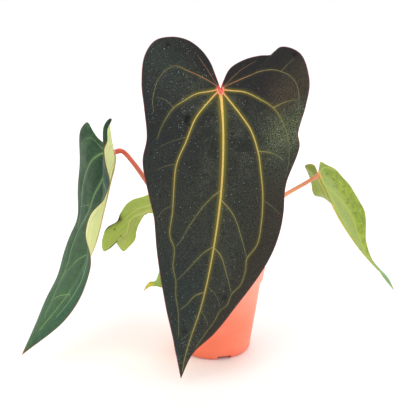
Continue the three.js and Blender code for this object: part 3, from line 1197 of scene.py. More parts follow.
    def _skin(self) -> bpy.types.Object:
        """Gives the sheet its thickness, thinner towards a rounded edge, and paints it."""
        sheet = self.sheet
        points, normal = sheet.points, sheet.normal
        inner = smoothstep(sheet.inset, 0.0, self.edge_taper)[..., None]
        half = between(self.edge_thickness, self.thickness, inner) / 2
        upper = (points + normal * half).reshape(-1, 3)
        lower = (points - normal * half).reshape(-1, 3)
        quads, count = sheet.quads()
        columns = sheet.column_count + 1
        last = sheet.row_count * columns
        ring = [k * columns for k in range(sheet.row_count + 1)]
        ring += [k * columns + columns - 1 for k in range(sheet.row_count - 1, 0, -1)]
        flat = points.reshape(-1, 3)
        along = flat[np.roll(ring, -1)] - flat[np.roll(ring, 1)]
        outward = unit(np.cross(along, normal.reshape(-1, 3)[ring]))
        rim = flat[ring] + outward * self.edge_round
        shared = np.arange(2 * count + len(ring))
        for offset in (0, count):
            shared[offset : offset + columns] = offset
            shared[offset + last : offset + last + columns] = offset + last
        faces = [[shared[k] for k in quad] for quad in quads]
        faces += [[shared[k + count] for k in reversed(quad)] for quad in quads]
        faces = [list(dict.fromkeys(face)) for face in faces]
        side_count = len(faces) // 2
        for k, corner in enumerate(ring):
            following = (k + 1) % len(ring)
            rim_a, rim_b = 2 * count + k, 2 * count + following
            a, b = shared[corner], shared[ring[following]]
            faces.append([a, rim_a, rim_b, b])
            faces.append([rim_a, a + count, b + count, rim_b])
        slots = np.zeros(len(faces), int)
        slots[side_count : 2 * side_count] = 1
        slots[2 * side_count + 1 :: 2] = 1
        used = np.zeros(2 * count + len(ring), bool)
        used[np.concatenate([np.asarray(face) for face in faces])] = True
        numbers = np.cumsum(used) - 1
        blade = make_piece(
            f"{self.name}_blade_dressed",
            np.concatenate([upper, lower, rim])[used],
            [[int(numbers[k]) for k in face] for face in faces],
            [self.upper.build(), self.lower.build()],
            slots,
        )
        for name, values in self._tones().items():
            paint(blade, name, np.concatenate([values, values, values[ring]])[used])
        return blade

    def _tones(self) -> dict[str, np.ndarray]:
        """Works out the numbers that the blade's material reads, one for each point of the grid."""
        sheet = self.sheet
        grid = sheet.points.reshape(-1, 3)
        halo = np.zeros(len(grid))
        for rank, size in VEIN_SIZES.items():
            distance, share = self._distance(rank, grid)
            reach = between(size.start, size.end, share) + size.halo_reach * (1 - 0.45 * share)
            halo = np.maximum(halo, size.halo * (1 - 0.85 * share) * np.exp(-((distance / reach) ** 2)))
        notch = np.linalg.norm(grid - grid[0], axis=1)
        inset = sheet.inset.ravel()
        near_notch = smoothstep(notch, self.lip_reach, 0.4 * self.lip_reach)
        lip = np.exp(-((inset / self.lip_width) ** 2)) * near_notch
        return {
            "halo": halo,
            "across": sheet.across.ravel(),
            "down": np.repeat(sheet.down, sheet.column_count + 1),
            "inset": inset,
            "blush": 0.85 * np.exp(-((notch / self.blush_reach) ** 4)),
            "lip": 0.95 * np.maximum(lip, np.exp(-((notch / self.lip_at_notch) ** 2))),
            "mark": self.bruises,
        }

    def _raise_veins(self, face: Face, material: bpy.types.Material, swell: float) -> bpy.types.Object:
        """Raises the veins on one face as low, tapering ridges.

        Args:
            face: the face.
            material: the veins' material.
            swell: how large the ridges are, where 1 is their plain size.

        Returns:
            The veins.
        """
        up = np.sin(ring_angles(self.vein_sides))
        notch = self.sheet.points[0, 0]
        ridges = TubeCluster()
        for path in map(self._past_joint, self.paths):
            size = VEIN_SIZES[path.rank]
            share = path.share[:, None]
            ends = np.minimum(1.0, (1 - share) * len(share) / 3 + 0.12)
            width = between(size.start, size.end, share**self.vein_taper) * ends * (0.6 + 0.4 * swell)
            rise = size.rise * swell**2 * (1 - self.vein_fall * share)
            rise = np.maximum(rise, self.vein_least_rise) * ends
            out = path.normals * face.value
            side = unit(np.cross(out, unit(np.gradient(path.points, axis=0))))
            centre = path.points + out * (self.thickness / 2 - self.vein_sink)
            wide = np.cos(ring_angles(self.vein_sides)) * width
            high = np.where(up > 0, up * rise, up * self.vein_root)
            aged = between(size.ageing_start, size.ageing_end, path.share)
            if path.rank not in (MIDRIB, RIM):
                aged = np.maximum(aged, self.vein_ageing)
            near = np.linalg.norm(path.points - notch, axis=1) / (self.vein_blush * size.blush)
            ridges.add(
                lay_rings(centre, side, out, wide, high),
                self.vein_sides,
                crest=np.tile(np.clip(up, 0, 1), len(share)),
                ageing=np.repeat(np.clip(aged, 0, 1), self.vein_sides),
                blush=np.repeat(0.9 * np.exp(-(near**2)), self.vein_sides),
                dusk=float(path.rank in (BASAL, TRACE)),
            )
        return ridges.piece(f"{self.name}_{face.name.lower()}_veins", material)

    def scatter(
        self,
        name: str,
        material: bpy.types.Material,
        spots: Sequence[tuple[float, float, float]],
        sides: int = 7,
    ) -> bpy.types.Object:
        """Sets small low domes on the upper face.

        Args:
            name: the piece's name.
            material: the domes' material.
            spots: for each dome its place down and across, as for a vein, and its radius in millimetres.
            sides: the number of corners round a dome.

        Returns:
            The domes, as one piece.
        """
        tree = self.sheet.surface()
        turns = ring_angles(sides)
        levels, spreads = np.array(self.dome_rings).T[:, :, None]
        rings = len(levels)
        corners, faces = [], []
        for index, (down, across, radius) in enumerate(spots):
            near, normal, _, _ = tree.find_nearest(self.sheet.place(down, across))
            out = np.array(normal)
            side = unit(np.cross(out, (0.3, 0.5, 0.8)))
            directions = (np.tile(line, (rings, 1)) for line in (side, np.cross(out, side)))
            centre = np.array(near) + out * (self.thickness / 2 - self.dome_sink)
            flat = (np.cos(turns) * radius * spreads, np.sin(turns) * radius * spreads)
            corners.append(lay_rings(centre + out * radius * levels, *directions, *flat))
            corners.append([centre + out * radius * self.dome_top])
            crown = (index + 1) * (rings * sides + 1) - 1
            *closed, top = tube_faces(rings, sides, crown - rings * sides)
            faces += [*closed, *([a, b, crown] for a, b in zip(top, [*top[1:], top[0]]))]
        piece = make_piece(name, np.concatenate(corners), faces, [material])
        return piece


@dataclass
class Stalk:
    """A fleshy leaf stalk, thicker at its foot, with the swollen joint that turns its blade to the light."""

    name: str
    points: tuple[Point, ...]
    base: float
    top: float
    skin: StalkSkin
    joint_swell: float = 0.35
    joint_length: float = 11.0
    ring_spacing: float = 1.9
    ring_depth: float = 0.08
    flutes: int = 5
    flute_depth: float = 0.025
    step: float = 1.5
    sides: int = 24

    def build(self) -> bpy.types.Object:
        """Makes the stalk, in place of its plain solid.

        Returns:
            The stalk.
        """
        curve = SmoothCurve(self.points)
        count = int(curve.length / self.step)
        share = np.linspace(0, 1, count)
        left = (1 - share) * curve.length
        joint = smoothstep(left, self.joint_length, 0.6 * self.joint_length)
        rings = self.ring_depth * np.sin(left * 2 * np.pi / self.ring_spacing) * smoothstep(left, 0.0, 2.0)
        radius = between(self.top, self.base, (1 - share) ** 1.5) + (self.joint_swell + rings) * joint
        turns = ring_angles(self.sides)
        flute = 1 + self.flute_depth * np.cos(self.flutes * turns) * (1 - joint)[:, None]
        tube = TubeCluster()
        corners = round_rings(curve.along(share), radius[:, None] * flute, self.sides)
        tube.add(corners, self.sides, along=np.repeat(share, self.sides))
        piece = tube.piece(f"{self.name}_stalk_dressed", self.skin.build())
        round_stalk = [np.tile(np.cos(turns) * self.base, count), np.tile(np.sin(turns) * self.base, count)]
        lengthwise = np.repeat(share * curve.length * 0.06, self.sides)
        paint(piece, "grain", np.stack([*round_stalk, lengthwise], axis=1))
        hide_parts(f"{self.name}_stalk")
        return piece


# The front leaf's midrib and rows, and so on for each leaf, are those of its solid: how far along the midrib
# each row starts, then where it meets the left and the right edge, seen on the upper face with the tip away.
FRONT_SHEET = dict(
    rib=((5, -72, 327), (7, -81, 305), (8, -90, 277), (6, -102, 227), (-2, -110, 165), (-14, -112, 104),
         (-29, -112, 54), (-38, -107, 11)),
    rows=(
        (3, (1, -68, 338), (8.4, -65.5, 334.8)),
        (6, (-5, -61, 352), (15.8, -58, 346.5)),
        (9, (-16, -55, 366), (30.4, -53.5, 354.6)),
        (12, (-30, -51, 375), (46.2, -50.5, 358.4)),
        (16, (-46, -50, 378), (60, -49.5, 359.6)),
        (26, (-63, -52, 374), (69.5, -47.5, 366.8)),
        (34, (-74, -58, 359), (89.4, -50, 360.4)),
        (42, (-77, -66, 333), (98.6, -57.5, 334)),
        (51, (-74, -73, 307), (94, -66, 307)),
        (63, (-72, -80, 277), (87, -74, 281)),
        (80, (-76, -86, 254), (88, -78, 268)),
        (110, (-71, -91, 223), (74, -85, 227)),
        (143, (-65, -96, 192), (72, -90, 192)),
        (176, (-62, -100, 160), (62, -95, 159)),
        (209, (-58, -104, 127), (43, -99, 124)),
        (241, (-53, -106, 95), (21, -103, 94)),
        (270, (-47, -108, 67), (-1, -106, 66)),
        (297, (-43, -108, 42), (-25, -108, 41)),
    ),
    bulge=5, frill_height=1.6, frill_waves=7, row_count=280, column_count=110,
)
LEFT_SHEET = dict(
    rib=((-112, -25, 248), (-113, -29, 236), (-118, -38, 215), (-125, -47, 186), (-137, -57, 144),
         (-165, -66, 95), (-192, -70, 61), (-221, -70, 21)),
    rows=(
        (2.5, (-118.5, -14, 249.6), (-115.2, -32, 259.9)),
        (7, (-127, 0, 253), (-115.9, -41, 272)),
        (15, (-136, 13, 257), (-112.5, -60, 293)),
        (25, (-143, 24, 263), (-117.2, -69, 286)),
        (36, (-150, 34, 270), (-117.4, -76, 273)),
        (43, (-157, 38, 260), (-115, -80, 256)),
        (50, (-161, 37, 236), (-114, -83, 240)),
        (58, (-161, 32, 210), (-112, -84, 225)),
        (67, (-162, 25, 184), (-117, -86, 211)),
        (81, (-164, 15, 159), (-132, -93, 198)),
        (98, (-170, 3, 140), (-136, -98, 179)),
        (120, (-179, -10, 116), (-133, -98, 153)),
        (146, (-186, -24, 95), (-137, -93, 129)),
        (176, (-196, -38, 74), (-147, -87, 100)),
        (208, (-205, -52, 55), (-170, -81, 67)),
    ),
    bulge=4, frill_height=1.2, frill_waves=6, row_count=220, column_count=120,
    rolls=(Roll(Side.RIGHT, 0.15, 0.36, 5.4, 1.2),),
)
RIGHT_SHEET = dict(
    rib=((125, 45, 205), (130, 45, 195), (141, 42, 173), (157, 39, 144), (180, 34, 111), (200, 28, 89),
         (211, 25, 77), (221, 19, 63)),
    rows=(
        (4, (128, 54, 214), (121, 54, 213)),
        (8, (130, 60, 216), (116, 60, 213)),
        (12, (138, 64, 211), (111, 66, 209)),
        (17, (149, 66, 205), (115, 72, 199)),
        (23, (160, 66, 193), (121, 76, 185)),
        (31, (171, 64, 180), (126, 80, 167)),
        (41, (180, 61, 166), (139, 84, 161)),
        (53, (186, 57, 153), (152, 84, 151)),
        (68, (188, 52, 137), (165, 78, 133)),
        (86, (188, 47, 122), (176, 68, 117)),
        (105, (191, 41, 107), (186, 56, 105)),
        (122, (197, 35, 94), (195, 44, 95)),
        (137, (203, 29, 86), (205, 34, 85)),
        (153, (210, 24, 76), (214, 26, 77)),
    ),
    bulge=3, frill_height=0.8, frill_waves=5, row_count=170, column_count=70,
)
BACK_LEFT_SHEET = dict(
    rib=((-41, 28, 177), (-65, 24, 169), (-84, 20, 163), (-98, 14, 155), (-107, 8, 141), (-117, 0, 133)),
    rows=(
        (5, (-33, 38, 161), (-39, 32, 192)),
        (12, (-42, 46, 144), (-58, 34, 196)),
        (24, (-64, 40, 155), (-81, 31, 182)),
        (33, (-76, 34, 158), (-89, 28, 180)),
        (42, (-83, 31, 158), (-97, 26, 178)),
        (50, (-87, 27, 155), (-105, 23, 173)),
        (58, (-91, 25, 147), (-112, 20, 163)),
        (66, (-94, 22, 139), (-116, 17, 153)),
        (74, (-96, 19, 130), (-128, 15, 145)),
        (82, (-101, 16, 123), (-134, 12, 134)),
        (88, (-105, 12, 120), (-135, 9, 125)),
        (93, (-109, 8, 119), (-132, 5, 120)),
    ),
    bulge=2, frill_height=0.8, frill_waves=4, row_count=150, column_count=90,
    rolls=(Roll(Side.RIGHT, 0.5, 0.76, 5.0, 1.1),),
)
SMALL_SHEET = dict(
    rib=((-52, -16, 129), (-58, -19, 114), (-62, -20, 102), (-68, -20, 91), (-76, -21, 89), (-84, -23, 80)),
    rows=(
        (3, (-51, -6, 130), (-50, -26, 129)),
        (8, (-60, 0, 122), (-51, -34, 122)),
        (18, (-62.6, 1, 104), (-56, -39, 108)),
        (29, (-66.7, -2, 92.8), (-60, -36, 91)),
        (40, (-70.2, -9, 86.5), (-68, -30, 89)),
        (48, (-77, -17, 89), (-76, -26, 87)),
    ),
    bulge=1.5, frill_height=0.5, frill_waves=3, row_count=90, column_count=50,
)

FRONT_VEINS = (
    Vein(MIDRIB, ((0, 0), (0.357, 0), (0.526, 0), (0.591, 0), (0.626, 0), (0.637, 0), (0.68, 0), (0.721, 0),
         (0.764, 0), (0.805, 0), (0.838, 0), (0.881, 0), (0.921, -0.02), (0.961, -0.06), (0.985, 0))),
    Vein(LATERAL, ((0, 0), (0.307, -0.175), (0.44, -0.333), (0.52, -0.475), (0.581, -0.567), (0.629, -0.633),
         (0.667, -0.683), (0.708, -0.75), (0.73, -0.675), (0.762, -0.708), (0.788, -0.667), (0.816, -0.683),
         (0.844, -0.633), (0.868, -0.625), (0.904, -0.658))),
    Vein(LATERAL, ((0, 0), (0.293, 0.133), (0.398, 0.192), (0.486, 0.333), (0.561, 0.442), (0.605, 0.525),
         (0.642, 0.642), (0.686, 0.658), (0.724, 0.675), (0.747, 0.583), (0.767, 0.65), (0.793, 0.708),
         (0.811, 0.625), (0.833, 0.683), (0.843, 0.583), (0.868, 0.6), (0.894, 0.558), (0.93, 0.65))),
    Vein(LATERAL, ((0, 0), (0.284, -0.225), (0.35, -0.35), (0.407, -0.483), (0.441, -0.6), (0.48, -0.725),
         (0.504, -0.808), (0.526, -0.858))),
    Vein(LATERAL, ((0, 0), (0.222, 0.225), (0.329, 0.333), (0.395, 0.425), (0.441, 0.567), (0.493, 0.742),
         (0.537, 0.858), (0.579, 0.858))),
    Vein(BASAL, ((0, 0), (0.184, -0.267), (0.262, -0.392), (0.305, -0.567), (0.324, -0.667), (0.358, -0.733),
         (0.396, -0.8), (0.426, -0.842), (0.452, -0.875), (0.478, -0.875))),
    Vein(BASAL, ((0, 0), (0.131, 0.308), (0.213, 0.45), (0.293, 0.592), (0.345, 0.683), (0.37, 0.733),
         (0.393, 0.8), (0.417, 0.85), (0.448, 0.883), (0.479, 0.908))),
    Vein(TRACE, ((0, 0), (0.152, -0.367), (0.185, -0.592), (0.202, -0.792))),
    Vein(TRACE, ((0, 0), (0.132, 0.425), (0.175, 0.7), (0.22, 0.9))),
    Vein(TRACE, ((0.37, 0.733), (0.367, 0.833), (0.367, 0.933))),
    Vein(BRANCH, ((0.623, 0), (0.645, -0.175), (0.683, -0.4), (0.716, -0.567), (0.73, -0.675))),
    Vein(BRANCH, ((0.639, 0), (0.669, 0.217), (0.707, 0.383), (0.747, 0.583))),
    Vein(BRANCH, ((0.72, 0), (0.734, -0.167), (0.766, -0.433), (0.788, -0.667))),
    Vein(BRANCH, ((0.722, 0), (0.738, 0.133), (0.767, 0.292), (0.811, 0.625))),
    Vein(BRANCH, ((0.804, 0), (0.81, -0.192), (0.828, -0.383), (0.845, -0.633))),
    Vein(TRACE, ((0.792, 0), (0.803, 0.175), (0.824, 0.4), (0.843, 0.583))),
    Vein(TRACE, ((0.839, 0), (0.857, 0.25), (0.88, 0.542))),
    Vein(TRACE, ((0.881, 0), (0.897, -0.267), (0.911, -0.6))),
    Vein(BRANCH, ((0.441, 0.567), (0.442, 0.725), (0.451, 0.883))),
    Vein(BRANCH, ((0.561, 0.45), (0.58, 0.642), (0.597, 0.842))),
    Vein(TRACE, ((0.441, -0.6), (0.432, -0.717), (0.44, -0.85))),
    Vein(TRACE, ((0.508, -0.467), (0.528, -0.683), (0.546, -0.833))),
    Vein(TRACE, ((0.581, -0.567), (0.586, -0.7), (0.596, -0.85))),
    Vein(TRACE, ((0.654, -0.658), (0.664, -0.808), (0.683, -0.967))),
    Vein(TRACE, ((0.649, 0.642), (0.662, 0.8), (0.68, 0.967))),
    Vein(TRACE, ((0.579, 0.858), (0.604, 0.917), (0.621, 0.95))),
)
LEFT_VEINS = (
    Vein(MIDRIB, ((0, 0), (0.2, 0), (0.45, 0), (0.6, 0), (0.7, 0), (0.82, 0), (0.9, 0), (0.96, 0))),
    Vein(LATERAL, ((0, 0), (0.199, -0.458), (0.349, -0.458), (0.423, -0.55), (0.5, -0.717), (0.546, -0.767),
         (0.576, -0.775), (0.616, -0.85), (0.67, -0.75)), twin=True),
    Vein(LATERAL, ((0, 0), (0.303, -0.142), (0.411, -0.175), (0.5, -0.283), (0.593, -0.425), (0.652, -0.642),
         (0.714, -0.7), (0.774, -0.642), (0.82, -0.675), (0.881, -0.542), (0.933, -0.425)), twin=True),
    Vein(TRACE, ((0, 0), (0.203, -0.583), (0.314, -0.725), (0.378, -0.833), (0.411, -0.892),
         (0.444, -0.917)), twin=True),
    Vein(BRANCH, ((0.737, 0), (0.762, -0.3), (0.792, -0.533), (0.82, -0.675)), twin=True),
    Vein(BRANCH, ((0.864, 0), (0.868, -0.317), (0.881, -0.542)), twin=True),
    Vein(TRACE, ((0.567, -0.417), (0.591, -0.825)), twin=True),
)
RIGHT_VEINS = (
    Vein(MIDRIB, ((0, 0), (0.217, 0.1), (0.338, 0.1), (0.418, 0.06), (0.5, 0), (0.6, 0), (0.75, 0), (0.9, 0),
         (0.97, 0))),
    Vein(LATERAL, ((0, 0), (0.226, 0), (0.367, -0.233), (0.452, -0.375), (0.53, -0.467), (0.59, -0.533),
         (0.652, -0.558), (0.72, -0.56), (0.8, -0.5), (0.88, -0.4))),
    Vein(TRACE, ((0, 0), (0.181, -0.25), (0.287, -0.492), (0.344, -0.633), (0.406, -0.7), (0.466, -0.758),
         (0.536, -0.758), (0.591, -0.842), (0.637, -0.9))),
    Vein(BASAL, ((0, 0), (0.104, -0.383), (0.148, -0.583), (0.19, -0.817), (0.229, -0.892), (0.28, -0.917))),
    Vein(LATERAL, ((0, 0), (0.276, 0.467), (0.349, 0.483), (0.415, 0.483), (0.55, 0.5), (0.7, 0.5))),
    Vein(TRACE, ((0.437, -0.35), (0.463, -0.617), (0.46, -0.958))),
    Vein(TRACE, ((0.518, -0.467), (0.531, -0.708), (0.516, -0.975))),
    Vein(TRACE, ((0.59, -0.533), (0.597, -0.742), (0.581, -0.992))),
    Vein(TRACE, ((0.652, -0.558), (0.659, -0.733), (0.641, -0.983))),
    Vein(TRACE, ((0.367, -0.233), (0.385, -0.55), (0.375, -1))),
)
BACK_LEFT_VEINS = (
    Vein(MIDRIB, ((0, 0), (0.2, 0), (0.352, 0), (0.444, 0), (0.508, 0.08), (0.56, 0.11), (0.621, 0.083),
         (0.675, 0.008), (0.734, -0.033), (0.86, 0))),
    Vein(LATERAL, ((0, 0), (0.15, 0.25), (0.3, 0.3), (0.42, 0.36), (0.5, 0.42), (0.6, 0.5), (0.72, 0.55)),
         twin=True),
    Vein(BASAL, ((0, 0), (0.1, 0.4), (0.2, 0.55), (0.3, 0.72)), twin=True),
    Vein(BRANCH, ((0.56, 0.1), (0.65, 0.3), (0.76, 0.45)), twin=True),
    Vein(TRACE, ((0.68, 0), (0.76, 0.25), (0.85, 0.4)), twin=True),
    Vein(TRACE, ((0.42, 0.36), (0.46, 0.6), (0.53, 0.85)), twin=True),
)
SMALL_VEINS = (
    Vein(MIDRIB, ((0, 0), (0.2, 0), (0.45, 0), (0.6, 0), (0.8, 0), (0.95, 0))),
    Vein(LATERAL, ((0, 0), (0.2, 0.2), (0.4, 0.4), (0.6, 0.5), (0.8, 0.5)), twin=True),
    Vein(BASAL, ((0, 0), (0.15, 0.45), (0.3, 0.75)), twin=True),
)

FRONT_MARKS = (
    Mark(0.457, -0.45, 2.0, 1.4),
    Mark(0.468, -0.462, 1.5, 1.2),
    Mark(0.447, -0.42, 1.3, 1.2),
    Mark(0.474, -0.425, 1.1, 1.0),
    Mark(0.293, -0.9, 2.4, 0.6),
    Mark(0.358, 0.95, 2.4, 0.6),
    Mark(0.815, 0.508, 3.4, 0.5),
    Mark(0.886, -0.383, 2.8, 0.45),
    Mark(0.472, 0.1, 1.5, 0.6),
    Mark(0.591, 0.3, 1.5, 0.4),
    Mark(0.56, -0.9, 1.6, 0.5),
)
RIGHT_MARKS = (
    Mark(0.23, -0.55, 1.5, 0.5),
    Mark(0.3, -0.62, 1.6, 0.5),
    Mark(0.34, -0.45, 1.3, 0.4),
    Mark(0.4, -0.68, 1.5, 0.45),
    Mark(0.47, -0.6, 1.4, 0.35),
    Mark(0.54, -0.66, 1.5, 0.35),
)
BACK_LEFT_MARKS = (
    Mark(0.808, 0.067, 1.0, 0.8),
    Mark(0.701, 0.567, 0.9, 0.7),
    Mark(0.595, 0.65, 0.8, 0.7),
    Mark(0.598, -0.9, 0.8, 0.6),
)


CORAL_SKIN = StalkSkin("coral stalk skin", "#ee6e58", "#dc7860", "#7f8a4a", "#c45444", "#e86450")
SALMON_SKIN = StalkSkin("salmon stalk skin", "#d6865f", "#ffae7c", "#8f9a50", "#d09468", "#d08a5c")
GOLD_VEINS = VeinTissue("gold vein tissue", "#e8bc62", "#96963c", "#575b3c", "#f0806a", "#70453c")
PALE_RIBS = VeinTissue("pale rib tissue", "#dcdc8c", "#c4d07c", "#d0d684", "#dfa878", "#cdbf84")
ROSE_RIBS = VeinTissue("rose rib tissue", "#eea884", "#e0c890", "#dcdc9a", "#e8967a", "#d4b888")
YELLOW_RIBS = VeinTissue("yellow rib tissue", "#e4cc54", "#b6b850", "#a4b450", "#e2a060", "#a0b05c")
GREEN_VEINS = VeinTissue("green vein tissue", "#abc878", "#7a9c62", "#88aa60", "#c98a5c", "#8a8f5c")


@dataclass
class Plant:
    """The living plant's leaves: five blades, each on its stalk, and pale droplets on the largest, some of
    them painted glints.
    """

    seed: int = 11

    def build(self) -> list[bpy.types.Object]:
        """Makes every leaf.

        Returns:
            The pieces of all the leaves.
        """
        pieces = []
        leaves = [self._front(), self._left(), self._right(), self._back_left(), self._small()]
        for blade, stalk in leaves:
            pieces += [*blade.build(), stalk.build()]
        return [*pieces, self._droplets(leaves[0][0])]

    def _front(self) -> tuple[Blade, Stalk]:
        """Describes the large dark leaf in front."""
        upper = VelvetEpidermis(
            "dark velvet epidermis", "#46473e", "#191c1b", "#7d771e", "#7a3036", "#e86a54",
            (
                # painted sheen: a teal-grey tint on the left lobe, where the velvet catches the light
                Wash("#303a36", 0.8, (0.22, 0.3), (-0.25, -0.7)),
                Wash("#222328", 0.75, (0.36, 0.45), (-0.15, -0.6)),
                Wash("#3b3d34", 0.75, (0.5, 0.7)),
                # painted sheen: a teal tint on the left of the lower half
                Wash("#2a3635", 0.7, (0.66, 0.8), (0.15, -0.3)),
                # painted highlight: the pale green-grey sheen patch on the right, where a lamp reflects
                Wash("#6e7652", 0.7, (0.43, 0.51), (0.42, 0.7)),
                Wash("#34372f", 0.8, (0.53, 0.61), (0.3, 0.5)),
                Wash("#362c25", 0.85, (0.58, 0.66), (0.3, 0.7)),
                # purple-black tone with painted shade where the right lobe tilts away from the light
                Wash("#1f1a1f", 0.85, (0.47, 0.36), (0.15, 0.5)),
                Wash("#5a4834", 0.5, (0.49, 0.43), (0.4, 0.65)),
                # purple-black tone with painted shade where the right lobe tilts away from the light
                Wash("#1d191f", 0.9, (0.43, 0.33), (0.15, 0.5)),
                # purple-black tone with painted shade across both lobes, which tilt away from the light
                Wash("#1d191f", 0.85, (0.34, 0.2)),
            ),
            net=0.03, grain=0.95, mottle=0.8, mottle_mm=17.0,
        )
        lower = VelvetEpidermis(
            "dusky underside epidermis", "#7d8a55", "#5f6d45", "#a3a95e", "#7a4a3c", "#c8705c",
            (Wash("#86705a", 0.5, (-0.1, 0.0), (0.3, 1.0)),), ior=1.4, glow=0.1,
        )
        blade = Blade(
            "leaf_front", BladeSheet(**FRONT_SHEET), FRONT_VEINS, FRONT_MARKS, upper, lower,
            GOLD_VEINS, PALE_RIBS, "dark_velvet_blade",
        )
        points = ((0, -5, 104), (2, -6, 122), (4, -4, 160), (5, 0, 245), (5, -2, 291), (5, -14, 310),
                  (5, -42, 319), (5, -73, 324))
        return blade, Stalk("leaf_front", points, 3.6, 2.7, CORAL_SKIN)

    def _left(self) -> tuple[Blade, Stalk]:
        """Describes the green leaf on the left."""
        upper = VelvetEpidermis(
            "green velvet epidermis", "#4a6646", "#263c2b", "#6d8f58", "#8a5a3c", "#d07058",
            (
                Wash("#587a56", 0.7, (0.6, 0.9)),
                # painted shade in the fold of the upper half
                Wash("#22362a", 0.8, (0.6, 0.42), (-0.75, -0.2)),
                Wash("#3d5f4f", 0.6, (0.3, 0.45), (0.1, 0.5)),
                Wash("#9a6238", 0.9, (0.984, 1.0)),
            ),
            mottle=0.75, mottle_mm=11.0, grain=0.7, sheen=0.0, ior=1.18, bruise="#22352a",
        )
        lower = VelvetEpidermis(
            "cream underside epidermis", "#ecf3ac", "#d2e294", "#f0f4b8", "#dca478", "#e0a080",
            ior=1.4, sheen=0.05, glow=0.15, lip="#e08a68",
        )
        blade = Blade(
            "leaf_left", BladeSheet(**LEFT_SHEET), LEFT_VEINS, (), upper, lower, GREEN_VEINS, ROSE_RIBS,
            "green_blade", upper_swell=0.6, lower_swell=1.3, vein_blush=0.35, vein_ageing=0.92,
        )
        points = ((-5, 1, 100), (-13, 1, 115), (-30, 0, 136), (-62, -2, 180), (-79, -7, 210),
                  (-93, -12, 233), (-105, -18, 248), (-113, -24, 248))
        return blade, Stalk("leaf_left", points, 3.5, 2.6, CORAL_SKIN)

    def _right(self) -> tuple[Blade, Stalk]:
        """Describes the pale leaf on the right, which turns its underside to the camera."""
        upper = VelvetEpidermis(
            "fresh upper epidermis", "#7fae7c", "#6c9a68", "#a4c47c", "#b09a58", "#d88a60",
            ior=1.4, glow=0.15, lip="#d89a60",
        )
        lower = VelvetEpidermis(
            "fresh underside epidermis", "#9aac2e", "#728727", "#b4bd5c", "#a39a48", "#dca05c",
            (
                Wash("#9dad64", 0.85, across=(-0.62, -0.4)),
                # brighter green on the left lobe, partly its own colour and partly painted light where the
                # front leaf shades it
                Wash("#9ab434", 0.85, across=(0.06, 0.2)),
                Wash("#7c9038", 0.6, (0.36, 0.12)),
                Wash("#8fb888", 0.6, (0.8, 0.97)),
            ),
            mottle=0.85, mottle_mm=7.0, ior=1.4, glow=0.15, lip="#d8a860", bruise="#56692c",
        )
        blade = Blade(
            "leaf_right", BladeSheet(**RIGHT_SHEET), RIGHT_VEINS, RIGHT_MARKS, upper, lower,
            GREEN_VEINS, YELLOW_RIBS, "pale_blade", lower_swell=1.2, vein_blush=0.4, vein_ageing=1.0,
        )
        points = ((5, 2, 98), (12, 5, 113), (28, 11, 134), (52, 20, 161), (82, 30, 181), (110, 39, 195),
                  (125, 44, 203))
        return blade, Stalk("leaf_right", points, 3.3, 2.4, SALMON_SKIN)

    def _back_left(self) -> tuple[Blade, Stalk]:
        """Describes the leaf behind on the left, with its curled and torn tip."""
        upper = VelvetEpidermis("old upper epidermis", "#36523e", "#2c4534", "#5c7a4c", "#9a7a48", "#c87a58")
        lower = VelvetEpidermis(
            "old underside epidermis", "#c2e062", "#98b84c", "#ccd67e", "#b6bc60", "#e09a62",
            (Wash("#d0de84", 0.75, (0.62, 0.8)), Wash("#b3bd74", 0.7, across=(-0.5, -0.1))),
            ior=1.4, sheen=0.05, glow=0.2, lip="#d8a860", bruise="#4a3c26", edge_mm=0.8,
        )
        blade = Blade(
            "leaf_back_left", BladeSheet(**BACK_LEFT_SHEET), BACK_LEFT_VEINS, BACK_LEFT_MARKS, upper, lower,
            GREEN_VEINS, PALE_RIBS, "pale_blade", lower_swell=1.3, vein_blush=0.4,
        )
        points = ((-2, 6, 94), (-7, 15, 111), (-15, 23, 137), (-27, 28, 160), (-41, 29, 177))
        return blade, Stalk("leaf_back_left", points, 3.0, 2.2, SALMON_SKIN)

    def _small(self) -> tuple[Blade, Stalk]:
        """Describes the small old leaf that hangs over the pot's rim, yellow at its tip."""
        upper = VelvetEpidermis(
            "ageing upper epidermis", "#8aa44a", "#6c8a3c", "#a4b258", "#a8a84c", "#d08a50",
            (
                Wash("#34502c", 0.85, (0.42, 0.2)),
                Wash("#3c6a2c", 0.85, (0.9, 0.8), (0.1, 0.4)),
                Wash("#b2cc5c", 0.8, (0.5, 0.7)),
                Wash("#ffde38", 0.95, (0.74, 0.88)),
            ),
            edge_mm=0.6, lip="#c98a50",
        )
        lower = VelvetEpidermis(
            "ageing underside epidermis", "#b3bf64", "#a0ae58", "#cdd080", "#d8a848", "#e09a62",
            (Wash("#ffdf40", 0.95, (0.74, 0.88)),), ior=1.4, glow=0.2, lip="#d8a860",
        )
        blade = Blade(
            "leaf_small", BladeSheet(**SMALL_SHEET), SMALL_VEINS, (), upper, lower, GREEN_VEINS, PALE_RIBS,
            "old_blade", rim_width=2.2, rim_depth=3.0,
        )
        points = ((-5, -4, 91), (-14, -9, 109), (-28, -13, 126), (-42, -15, 132), (-51, -16, 126))
        return blade, Stalk("leaf_small", points, 2.8, 2.0, SALMON_SKIN)

    def _droplets(self, blade: Blade) -> bpy.types.Object:
        """Scatters pale droplets over the front leaf in patches; those in the patch on the right, under the
        painted sheen, are painted glints.
        """
        rng = np.random.default_rng(self.seed)
        spots = []
        for count, down, across in (
            (1000, (0.32, 0.97), (-0.95, 0.6)),
            (260, (0.2, 0.5), (-0.97, -0.35)),
            # painted highlight: these droplets are the glints in the sheen patch on the right
            (330, (0.46, 0.6), (0.45, 0.97)),
            (120, (0.4, 0.9), (-0.12, 0.12)),
            (140, (0.1, 0.97), (-0.97, 0.97)),
        ):
            for _ in range(count):
                spots.append((rng.uniform(*down), rng.uniform(*across), 0.12 + 0.24 * rng.random() ** 3))
        droplet_and_glint_finish = PlainSurface("pale droplets and painted glints", "#96a29b", "#ccd6d2", 0.25, 0.8).build()
        return blade.scatter("leaf_front_droplets", droplet_and_glint_finish, spots)


# ---- pot, mix and stem ----


